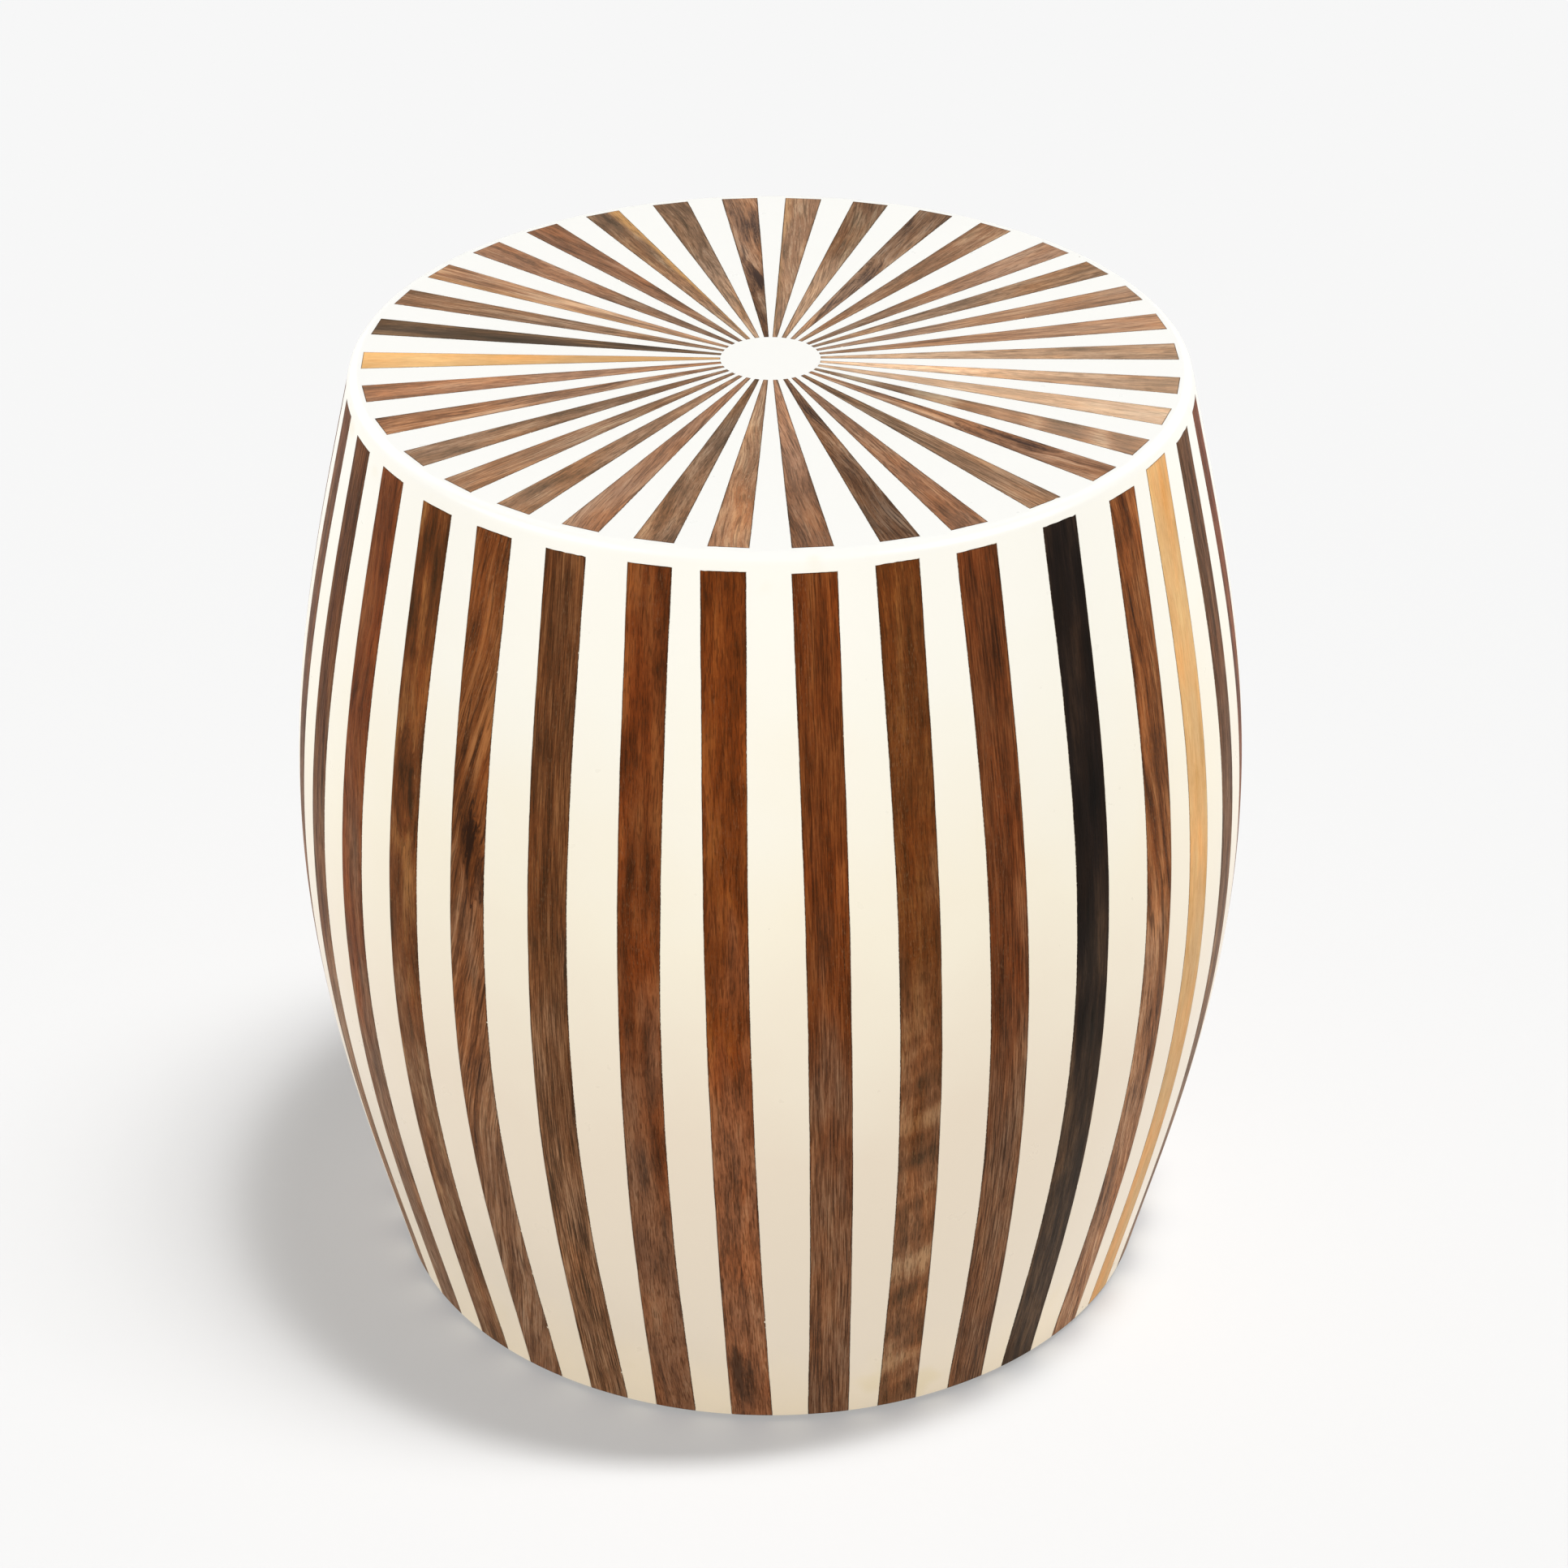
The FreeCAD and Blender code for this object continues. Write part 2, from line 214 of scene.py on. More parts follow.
class NodeSheet:
    """The nodes of one material or world."""

    def __init__(self, tree: bpy.types.NodeTree) -> None:
        """Start from an empty tree."""
        self.tree = tree
        tree.nodes.clear()

    def node(
        self, kind: str, settings: dict | None = None, inputs: dict | None = None
    ) -> bpy.types.Node:
        """Add a node of any type.

        Args:
            kind: The node's type.
            settings: Its properties, set first. "stops" gives a ramp's stops.
            inputs: Values, signals or sockets by input name or index.

        Returns:
            The node.
        """
        node = self.tree.nodes.new(kind)
        for name, value in (settings or {}).items():
            if name == "stops":
                self._set_stops(node.color_ramp, value)
            else:
                setattr(node, name, value)
        for key, value in (inputs or {}).items():
            if isinstance(value, Signal):
                value = value.socket
            if isinstance(value, bpy.types.NodeSocket):
                self.tree.links.new(value, node.inputs[key])
            elif isinstance(value, tuple) and len(node.inputs[key].default_value) == 4:
                node.inputs[key].default_value = (*value, 1.0)
            else:
                node.inputs[key].default_value = value
        return node

    @staticmethod
    def _set_stops(ramp: bpy.types.ColorRamp, stops: list[tuple[float, Colour]]) -> None:
        """Put a ramp's stops in place.

        Args:
            ramp: The ramp.
            stops: Place and colour of each stop, in order.
        """
        while len(ramp.elements) < len(stops):
            ramp.elements.new(1.0)
        for element, (place, colour) in zip(ramp.elements, stops):
            element.position = place
            element.color = (*colour, 1.0)

    def signal(self, node: bpy.types.Node, output: str | int = 0) -> Signal:
        """One output of a node as a signal."""
        return Signal(self.tree, node.outputs[output])

    def blend(
        self, share: Signal | float, first: object, second: object, mode: str = "MIX"
    ) -> bpy.types.NodeSocket:
        """Mix two colours.

        Args:
            share: How much of the second colour.
            first: Colour or socket.
            second: Colour or socket.
            mode: The Mix node's blend type.

        Returns:
            The mixed colour.
        """
        settings = {"data_type": "RGBA", "blend_type": mode, "clamp_factor": True}
        node = self.node("ShaderNodeMix", settings, {0: share, 6: first, 7: second})
        return node.outputs[2]

    def rise(self, value: Signal, low: float, high: float) -> Signal:
        """A smooth step from 0 at low to 1 at high.

        Args:
            value: What is measured.
            low: Where the step starts.
            high: Where it ends.

        Returns:
            The step, 0 to 1.
        """
        falls = low > high
        inputs = {
            "Value": value,
            "From Min": min(low, high),
            "From Max": max(low, high),
            "To Min": float(falls),
            "To Max": float(not falls),
        }
        settings = {"interpolation_type": "SMOOTHSTEP"}
        return self.signal(self.node("ShaderNodeMapRange", settings, inputs))

    def vector(self, x: Signal | float, y: Signal | float, z: Signal | float) -> bpy.types.NodeSocket:
        """Three values as one vector."""
        return self.node("ShaderNodeCombineXYZ", None, {"X": x, "Y": y, "Z": z}).outputs[0]

    def noise(
        self, place: bpy.types.NodeSocket, scale: float, detail: float, roughness: float = 0.5
    ) -> Signal:
        """Smooth noise about 0.

        Args:
            place: Where it is read.
            scale: Waves per unit.
            detail: Octaves.
            roughness: Weight of the finer octaves.

        Returns:
            The noise, about -0.5 to 0.5.
        """
        inputs = {"Vector": place, "Scale": scale, "Detail": detail, "Roughness": roughness}
        return self.signal(self.node("ShaderNodeTexNoise", None, inputs)) - 0.5

    def surface(self, inputs: dict, height: Signal | None = None, depth: float = 0.0) -> None:
        """Finish a material with a Principled shader.

        Args:
            inputs: The shader's sockets.
            height: What the bump follows, or nothing.
            depth: Depth of that bump in metres.
        """
        if height is not None:
            settings = {"Strength": 1.0, "Distance": depth, "Height": height}
            bump = self.node("ShaderNodeBump", None, settings)
            inputs = {**inputs, "Normal": bump.outputs[0]}
        shader = self.node("ShaderNodeBsdfPrincipled", None, inputs)
        self.node("ShaderNodeOutputMaterial", None, {"Surface": shader.outputs[0]})


def new_material(name: str) -> tuple[bpy.types.Material, NodeSheet]:
    """Start a material.

    Args:
        name: Its name.

    Returns:
        The material and its nodes.
    """
    material = bpy.data.materials.new(name)
    material.use_nodes = True
    return material, NodeSheet(material.node_tree)


class Bench:
    """Blender's mesh operators, used on one piece at a time."""

    @staticmethod
    def hold(piece: bpy.types.Object) -> None:
        """Make the piece the only selected one, and active.

        Args:
            piece: The piece.
        """
        bpy.ops.object.select_all(action="DESELECT")
        piece.select_set(True)
        bpy.context.view_layer.objects.active = piece

    @staticmethod
    def grid(name: str, columns: int, rows: int) -> bpy.types.Object:
        """Add a flat sheet of faces, one unit square.

        Args:
            name: The piece's name.
            columns: Faces along X.
            rows: Faces along Y.

        Returns:
            The sheet, from (0, 0) to (1, 1).
        """
        bpy.ops.object.select_all(action="DESELECT")
        bpy.ops.mesh.primitive_grid_add(
            x_subdivisions=columns, y_subdivisions=rows, size=1.0, location=(0.5, 0.5, 0.0)
        )
        piece = bpy.context.active_object
        bpy.ops.object.transform_apply(location=True, rotation=True, scale=True)
        piece.name = name
        piece.data.name = name
        piece.data.uv_layers[0].name = LAY_MAP
        return piece

    @staticmethod
    def copy(piece: bpy.types.Object, name: str) -> bpy.types.Object:
        """Copy a piece with its own mesh.

        Args:
            piece: What is copied.
            name: The copy's name.

        Returns:
            The copy.
        """
        twin = piece.copy()
        twin.data = piece.data.copy()
        twin.name = name
        twin.data.name = name
        bpy.context.scene.collection.objects.link(twin)
        return twin

    @staticmethod
    def corners(piece: bpy.types.Object) -> np.ndarray:
        """Read where a piece's vertices are.

        Args:
            piece: The piece.

        Returns:
            Their places, one row each.
        """
        places = np.empty(len(piece.data.vertices) * 3)
        piece.data.vertices.foreach_get("co", places)
        return places.reshape(-1, 3)

    @staticmethod
    def place(piece: bpy.types.Object, places: np.ndarray) -> None:
        """Move the piece's vertices to new places."""
        piece.data.vertices.foreach_set("co", places.ravel())
        piece.data.update()

    @staticmethod
    def lay(piece: bpy.types.Object, across: np.ndarray, along: np.ndarray) -> None:
        """Write how each vertex lies on its piece into the piece's own UV map.

        Args:
            piece: The piece.
            across: From -1 at one long edge to 1 at the other.
            along: Distance along the piece in metres.
        """
        loops = np.empty(len(piece.data.loops), dtype=np.int32)
        piece.data.loops.foreach_get("vertex_index", loops)
        values = np.stack((across[loops], along[loops]), axis=1)
        piece.data.uv_layers[LAY_MAP].uv.foreach_set("vector", values.ravel().astype(np.float32))

    @staticmethod
    def cut_out(piece: bpy.types.Object, doomed: np.ndarray) -> None:
        """Delete the marked faces.

        Args:
            piece: The piece.
            doomed: One mark per face.
        """
        Bench.hold(piece)
        bpy.ops.object.mode_set(mode="EDIT")
        bpy.ops.mesh.select_mode(type="FACE")
        bpy.ops.mesh.select_all(action="DESELECT")
        bpy.ops.object.mode_set(mode="OBJECT")
        piece.data.polygons.foreach_set("select", doomed)
        bpy.ops.object.mode_set(mode="EDIT")
        bpy.ops.mesh.delete(type="FACE")
        bpy.ops.object.mode_set(mode="OBJECT")

    @staticmethod
    def close(piece: bpy.types.Object, reach: float) -> None:
        """Merge doubled vertices and turn the faces outwards.

        Args:
            piece: The piece.
            reach: How near two vertices are when they are one.
        """
        Bench.hold(piece)
        bpy.ops.object.mode_set(mode="EDIT")
        bpy.ops.mesh.select_all(action="SELECT")
        bpy.ops.mesh.remove_doubles(threshold=reach)
        bpy.ops.mesh.normals_make_consistent(inside=False)
        bpy.ops.object.mode_set(mode="OBJECT")

    @staticmethod
    def face_up(piece: bpy.types.Object) -> None:
        """Turn the faces of a flat sheet upwards.

        Args:
            piece: The sheet.
        """
        if piece.data.polygons[0].normal.z < 0:
            Bench.hold(piece)
            bpy.ops.object.mode_set(mode="EDIT")
            bpy.ops.mesh.flip_normals()
            bpy.ops.object.mode_set(mode="OBJECT")

    @staticmethod
    def apply(piece: bpy.types.Object, kind: str, **settings: object) -> None:
        """Add a modifier and apply it.

        Args:
            piece: The piece.
            kind: The modifier's type.
            settings: Its properties.
        """
        Bench.hold(piece)
        modifier = piece.modifiers.new(kind.title(), kind)
        for name, value in settings.items():
            setattr(modifier, name, value)
        bpy.ops.object.modifier_apply(modifier=modifier.name)

    @staticmethod
    def thicken(piece: bpy.types.Object, thickness: float, ease: float) -> None:
        """Give a sheet its thickness inwards, ease its edges and smooth its faces.

        Args:
            piece: The sheet.
            thickness: How thick it becomes.
            ease: Width of the eased edge.
        """
        Bench.apply(piece, "SOLIDIFY", thickness=thickness, offset=-1.0, use_even_offset=True)
        Bench.apply(
            piece,
            "BEVEL",
            width=ease,
            segments=1,
            limit_method="ANGLE",
            angle_limit=BEVEL_FROM,
            use_clamp_overlap=True,
        )
        Bench.hold(piece)
        bpy.ops.object.shade_smooth_by_angle(angle=SMOOTH_BELOW)


@dataclass(frozen=True)
class BarrelForm:
    """The barrel's side line and rounded rim, in metres."""

    base_z: float = 2.5 * MM
    height: float = 454.97 * MM
    base_radius: float = 183.93 * MM
    belly_radius: float = 221.93 * MM
    rim_radius: float = 187.93 * MM
    end_ease: float = 0.27
    inlay: float = 3.5 * MM

    @property
    def top_z(self) -> float:
        """Height of the flat top."""
        return self.base_z + self.height

    @property
    def seam_z(self) -> float:
        """Height at which the side turns into the rim."""
        return self.top_z - self.inlay

    def radius(self, z: np.ndarray | float) -> np.ndarray | float:
        """The side's radius at a height.

        Args:
            z: The height.

        Returns:
            The radius.
        """
        s = (2 * z - self.base_z - self.top_z) / self.height
        chord = self.base_radius + (self.rim_radius - self.base_radius) * (s + 1) / 2
        swell = self.belly_radius - (self.base_radius + self.rim_radius) / 2
        return chord + swell * (1 - (1 + self.end_ease) * s**2 + self.end_ease * s**4)

    def rim(self, turn: float) -> tuple[float, float]:
        """A point of the rim's round.

        Args:
            turn: From 0 where it leaves the side to 1 where it meets the top.

        Returns:
            Radius and height.
        """
        step = 0.1 * MM
        slope = (self.radius(self.seam_z + step) - self.radius(self.seam_z - step)) / (2 * step)
        lean = -math.atan(slope)
        round_radius = self.inlay / (1 - math.sin(lean))
        centre = self.radius(self.seam_z) - round_radius * math.cos(lean)
        swing = lean + turn * (math.pi / 2 - lean)
        height = self.top_z - round_radius + round_radius * math.sin(swing)
        return centre + round_radius * math.cos(swing), height


@dataclass(frozen=True)
class InlayPlan:
    """Where the hand-set strips and rays lie on the barrel, in metres and degrees."""

    barrel: BarrelForm
    lines: int = 34
    first_line: float = -179.3
    strip_width: float = 19 * MM
    head_drop: float = 7.5 * MM
    ray_angle: float = 5.45
    ray_margin: float = 5.4 * MM
    hub_radius: float = 22.5 * MM
    wander: float = 0.07 * MM
    ray_wander: float = 0.6
    ray_calm: float = 80 * MM
    seed: int = 1871

    def turn(self, line: int, shifts: tuple[int, ...]) -> float:
        """A line's angle round the table, in radians, with its hand-set shift."""
        return math.radians(self.first_line + 360 / self.lines * (line + shifts[line] / 100))

    def head(self, line: int) -> float:
        """Height of a strip's upper end."""
        return self.barrel.top_z - self.head_drop - HEAD_STEPS[line % len(HEAD_STEPS)] * MM

    def lean(self, line: int) -> float:
        """How far a strip leans from upright, in radians."""
        drift = math.radians(360 / self.lines * FOOT_DRIFTS[line] / 100)
        return math.atan2(self.barrel.base_radius * drift, self.head(line) - self.barrel.base_z)

    def wobble(
        self, line: int, across: np.ndarray, along: np.ndarray, share: float = 1.0
    ) -> np.ndarray:
        """How far a hand-cut edge wanders sideways.

        Args:
            line: The strip or ray.
            across: From -1 at one edge to 1 at the other.
            along: Distance along it in metres.
            share: How much of the wander is taken.

        Returns:
            The sideways shift.
        """
        sides = []
        for edge in (0, 1):
            draw = np.random.default_rng(self.seed + 2 * line + edge)
            waves = 0.0
            for length, size in EDGE_WAVES:
                phase = draw.uniform(0, 2 * math.pi)
                stretched = length * draw.uniform(0.8, 1.25)
                waves = waves + size * np.sin(2 * math.pi * along / stretched + phase)
            sides.append(waves)
        return share * self.wander * (sides[0] * (1 - across) + sides[1] * (1 + across)) / 2

    def chips(self, line: int, across: np.ndarray) -> np.ndarray:
        """How far a strip's hand-sawn head is worn down.

        Args:
            line: The strip.
            across: From -1 at one edge to 1 at the other.

        Returns:
            The drop, at least 0.
        """
        draw = np.random.default_rng(self.seed + CHIP_DRAWS + line)
        size = draw.choice(CHIP_SIZES, p=CHIP_ODDS) * MM
        notches = draw.uniform(0, 1, CHIP_NOTCHES) ** 2
        return size * np.interp(across, np.linspace(-1, 1, CHIP_NOTCHES), notches)

    def strip_turn(self, line: int, across: np.ndarray, z: np.ndarray) -> np.ndarray:
        """Angle of a strip's point at a height.

        Args:
            line: The strip.
            across: From -1 at one edge to 1 at the other.
            z: Height.

        Returns:
            Angle round the table in radians.
        """
        lean = self.lean(line)
        side = across * self.strip_width / 2 / math.cos(lean) - (z - self.head(line)) * math.tan(lean)
        side = side + self.wobble(line, across, z)
        return self.turn(line, HEAD_SHIFTS) + np.arcsin(side / self.barrel.radius(z))

    def strip_height(self, line: int, across: np.ndarray, share: np.ndarray) -> np.ndarray:
        """Height of a strip's point.

        Args:
            line: The strip.
            across: From -1 at one edge to 1 at the other.
            share: From 0 at the foot to 1 at the head.

        Returns:
            The height.
        """
        rise = across * self.strip_width / 2 * math.tan(self.lean(line)) - self.chips(line, across)
        return self.barrel.base_z + share * (self.head(line) + rise - self.barrel.base_z)

    @property
    def ray_slope(self) -> float:
        """A ray's half width for each unit of radius."""
        return math.tan(math.radians(self.ray_angle / 2))

    @property
    def ray_reach(self) -> float:
        """Radius of the rays' outer ends."""
        return self.barrel.rim_radius - self.ray_margin

    def ray_polar(
        self, line: int, across: np.ndarray, share: np.ndarray
    ) -> tuple[np.ndarray, np.ndarray]:
        """A ray's point on the flat top.

        Args:
            line: The ray.
            across: From -1 at one edge to 1 at the other.
            share: From 0 at the outer end to 1 at the hub.

        Returns:
            Angle in radians and radius.
        """
        out = self.ray_reach + share * (self.hub_radius - self.ray_reach)
        wobble = self.wobble(line + RAY_DRAWS, across, out, self.ray_wander)
        side = across * out * self.ray_slope + wobble * np.minimum(1.0, out / self.ray_calm)
        return self.turn(line, RAY_SHIFTS) + np.arctan2(side, out), np.hypot(side, out)


@dataclass(frozen=True)
class GrainShape:
    """How one figure bends and marks the grain, in millimetres and waves per millimetre."""

    sway: float
    slant: float
    cloud: float
    vein: float = 0.4
    curl: float = 0.0
    stripes: float = 1.0
    lines: float = 0.85
    stroke: float = 0.075
    fine: float = 1.3


class Figure(Enum):
    """How a wood's grain runs in one piece."""

    STRAIGHT = GrainShape(sway=3.0, slant=0.006, cloud=0.7, vein=0.5)
    LINED = GrainShape(sway=1.5, slant=0.002, cloud=0.45, lines=1.6, stroke=0.04, fine=1.8)
    SLANTED = GrainShape(sway=8.0, slant=0.09, cloud=0.7, vein=0.8, stroke=0.05)
    WAVY = GrainShape(sway=18.0, slant=0.03, cloud=0.7, vein=0.6, curl=0.1, stroke=0.05)
    CURLY = GrainShape(sway=6.0, slant=0.01, cloud=0.4, vein=0.1, curl=1.0, lines=0.6)
    CLOUDY = GrainShape(sway=7.0, slant=0.012, cloud=1.1, vein=0.3, curl=0.1, lines=0.6)
    FLAMED = GrainShape(sway=12.0, slant=-0.2, cloud=0.7, vein=0.9, stripes=0.8, stroke=0.04)
    STRIPED = GrainShape(sway=2.0, slant=0.01, cloud=0.5, stripes=2.4, stroke=0.03)


@dataclass(frozen=True)
class WoodFinish:
    """One wood: its slot, its colours from dark to light, and its grain."""

    slot: str
    dark: Colour
    body: Colour
    light: Colour
    streak: float = 1.0
    fibre: float = 1.0
    pore: float = 0.6
    glint: float = 1.0


class Wood(Enum):
    """The woods of the inlay."""

    SHEESHAM = WoodFinish(
        "sheesham_wood", srgb(60, 30, 10), srgb(118, 57, 21), srgb(150, 84, 37), 0.75, 1.05, 0.5
    )
    WALNUT = WoodFinish(
        "walnut_wood", srgb(52, 32, 16), srgb(103, 60, 32), srgb(140, 93, 56), 0.85, 1.15, 0.5
    )
    ROSEWOOD = WoodFinish(
        "rosewood_wood", srgb(42, 22, 9), srgb(113, 61, 26), srgb(152, 96, 50), 1.2, 1.05, 0.5
    )
    TEAK = WoodFinish(
        "teak_wood", srgb(58, 34, 14), srgb(109, 59, 26), srgb(154, 100, 52), 0.7, 0.95, 0.45
    )
    EBONY = WoodFinish(
        "ebony_wood", srgb(15, 12, 10), srgb(27, 20, 17), srgb(50, 37, 29), 0.9, 0.6, 0.2, 0.15
    )
    MAPLE = WoodFinish(
        "maple_wood", srgb(200, 150, 88), srgb(222, 173, 116), srgb(234, 194, 134), 0.5, 0.8, 0.2, 0.4
    )


@dataclass(frozen=True)
class Tint:
    """How much of a wood's own colour and how much pale colour is in a look; the pale colour is partly
    bleached wood and partly painted sheen and painted reflection.
    """

    own: float
    pale: float

    def paler(self, more: float) -> "Tint":
        """The same look with more of the pale colour in it."""
        return Tint(self.own, self.pale + more)


@dataclass(frozen=True)
class Knot:
    """A dark eye that the grain bends round, in millimetres from the piece's start and middle."""

    along: float
    across: float
    size: float
    bend: float = 0.3
    lean: float = 0.12
    flatness: float = 0.3
    stray: float = 12.0
    rag: float = 2.4
    core: float = 0.25


@dataclass(frozen=True)
class Veneer:
    """One strip or ray as it was picked: its wood, its figure, its two looks and its marks."""

    wood: Wood
    figure: Figure
    near_own: float
    near_pale: float
    far_own: float
    far_pale: float
    sap: float = 0.0
    knot: Knot | None = None

    @property
    def near(self) -> Tint:
        """The look at a strip's head or a ray's outer end."""
        return Tint(self.near_own, self.near_pale)

    @property
    def far(self) -> Tint:
        """The look at a strip's foot, where its extra pale colour is painted reflection of the floor,
        and at a ray's inner end.
        """
        return Tint(self.far_own, self.far_pale)


# Each line's wood and figure, then how much own and pale colour is in its near and its far look. The
# strips' far looks are paler toward the foot as painted reflection of the floor.
STRIP_VENEERS = (
    Veneer(Wood.WALNUT, Figure.STRAIGHT, 0.9, 0.06, 0.8, 0.2),
    Veneer(Wood.WALNUT, Figure.STRAIGHT, 0.9, 0.02, 0.8, 0.2),
    Veneer(Wood.WALNUT, Figure.LINED, 0.76, 0.008, 0.65, 0.28),
    Veneer(Wood.SHEESHAM, Figure.WAVY, 0.84, 0.03, 0.3, 0.285),
    Veneer(Wood.TEAK, Figure.CLOUDY, 1.0, 0.01, 0.67, 0.158, knot=Knot(318, -1, 9)),
    Veneer(Wood.ROSEWOOD, Figure.FLAMED, 1.12, 0.02, 0.66, 0.2, knot=Knot(300, 3, 9)),
    Veneer(Wood.WALNUT, Figure.LINED, 1.0, 0.0, 0.95, 0.14),
    Veneer(Wood.SHEESHAM, Figure.CLOUDY, 0.88, 0.015, 0.58, 0.19),
    Veneer(Wood.SHEESHAM, Figure.STRAIGHT, 0.99, 0.0, 0.95, 0.175, knot=Knot(30, -2, 8, 0.0)),
    Veneer(Wood.SHEESHAM, Figure.LINED, 0.88, 0.01, 0.49, 0.167),
    Veneer(Wood.TEAK, Figure.CURLY, 0.95, 0.0, 0.83, 0.165),
    Veneer(Wood.SHEESHAM, Figure.LINED, 0.72, 0.035, 0.42, 0.185),
    Veneer(Wood.EBONY, Figure.STRAIGHT, 1.1, 0.005, 1.15, 0.065),
    Veneer(Wood.ROSEWOOD, Figure.SLANTED, 1.2, 0.05, 0.83, 0.335),
    Veneer(Wood.MAPLE, Figure.STRAIGHT, 1.02, 0.0, 0.75, 0.14),
    Veneer(Wood.WALNUT, Figure.LINED, 0.72, 0.08, 0.64, 0.2),
    Veneer(Wood.SHEESHAM, Figure.SLANTED, 0.9, 0.0, 0.6, 0.14),
    Veneer(Wood.ROSEWOOD, Figure.LINED, 1.0, 0.0, 0.8, 0.12),
    Veneer(Wood.WALNUT, Figure.CLOUDY, 1.0, 0.04, 0.7, 0.2),
    Veneer(Wood.SHEESHAM, Figure.STRAIGHT, 0.95, 0.0, 0.6, 0.12, knot=Knot(140, 3, 9)),
    Veneer(Wood.TEAK, Figure.CURLY, 1.0, 0.03, 0.8, 0.14),
    Veneer(Wood.WALNUT, Figure.SLANTED, 0.85, 0.0, 0.7, 0.14),
    Veneer(Wood.ROSEWOOD, Figure.WAVY, 1.15, 0.03, 0.8, 0.18),
    Veneer(Wood.SHEESHAM, Figure.LINED, 0.9, 0.0, 0.7, 0.1),
    Veneer(Wood.WALNUT, Figure.STRAIGHT, 1.0, 0.06, 0.8, 0.2, sap=-0.35),
    Veneer(Wood.TEAK, Figure.LINED, 1.0, 0.0, 0.7, 0.15),
    Veneer(Wood.SHEESHAM, Figure.CLOUDY, 0.85, 0.02, 0.5, 0.15),
    Veneer(Wood.MAPLE, Figure.STRAIGHT, 1.0, 0.0, 0.8, 0.12),
    Veneer(Wood.WALNUT, Figure.STRAIGHT, 0.9, 0.0, 0.7, 0.16),
    Veneer(Wood.SHEESHAM, Figure.WAVY, 0.9, 0.0, 0.65, 0.12, knot=Knot(255, -4, 12)),
    Veneer(Wood.ROSEWOOD, Figure.LINED, 1.1, 0.02, 0.8, 0.15),
    Veneer(Wood.TEAK, Figure.SLANTED, 0.95, 0.0, 0.7, 0.16),
    Veneer(Wood.SHEESHAM, Figure.STRAIGHT, 0.8, 0.0, 0.5, 0.14),
    Veneer(Wood.WALNUT, Figure.CURLY, 0.95, 0.02, 0.8, 0.16),
)
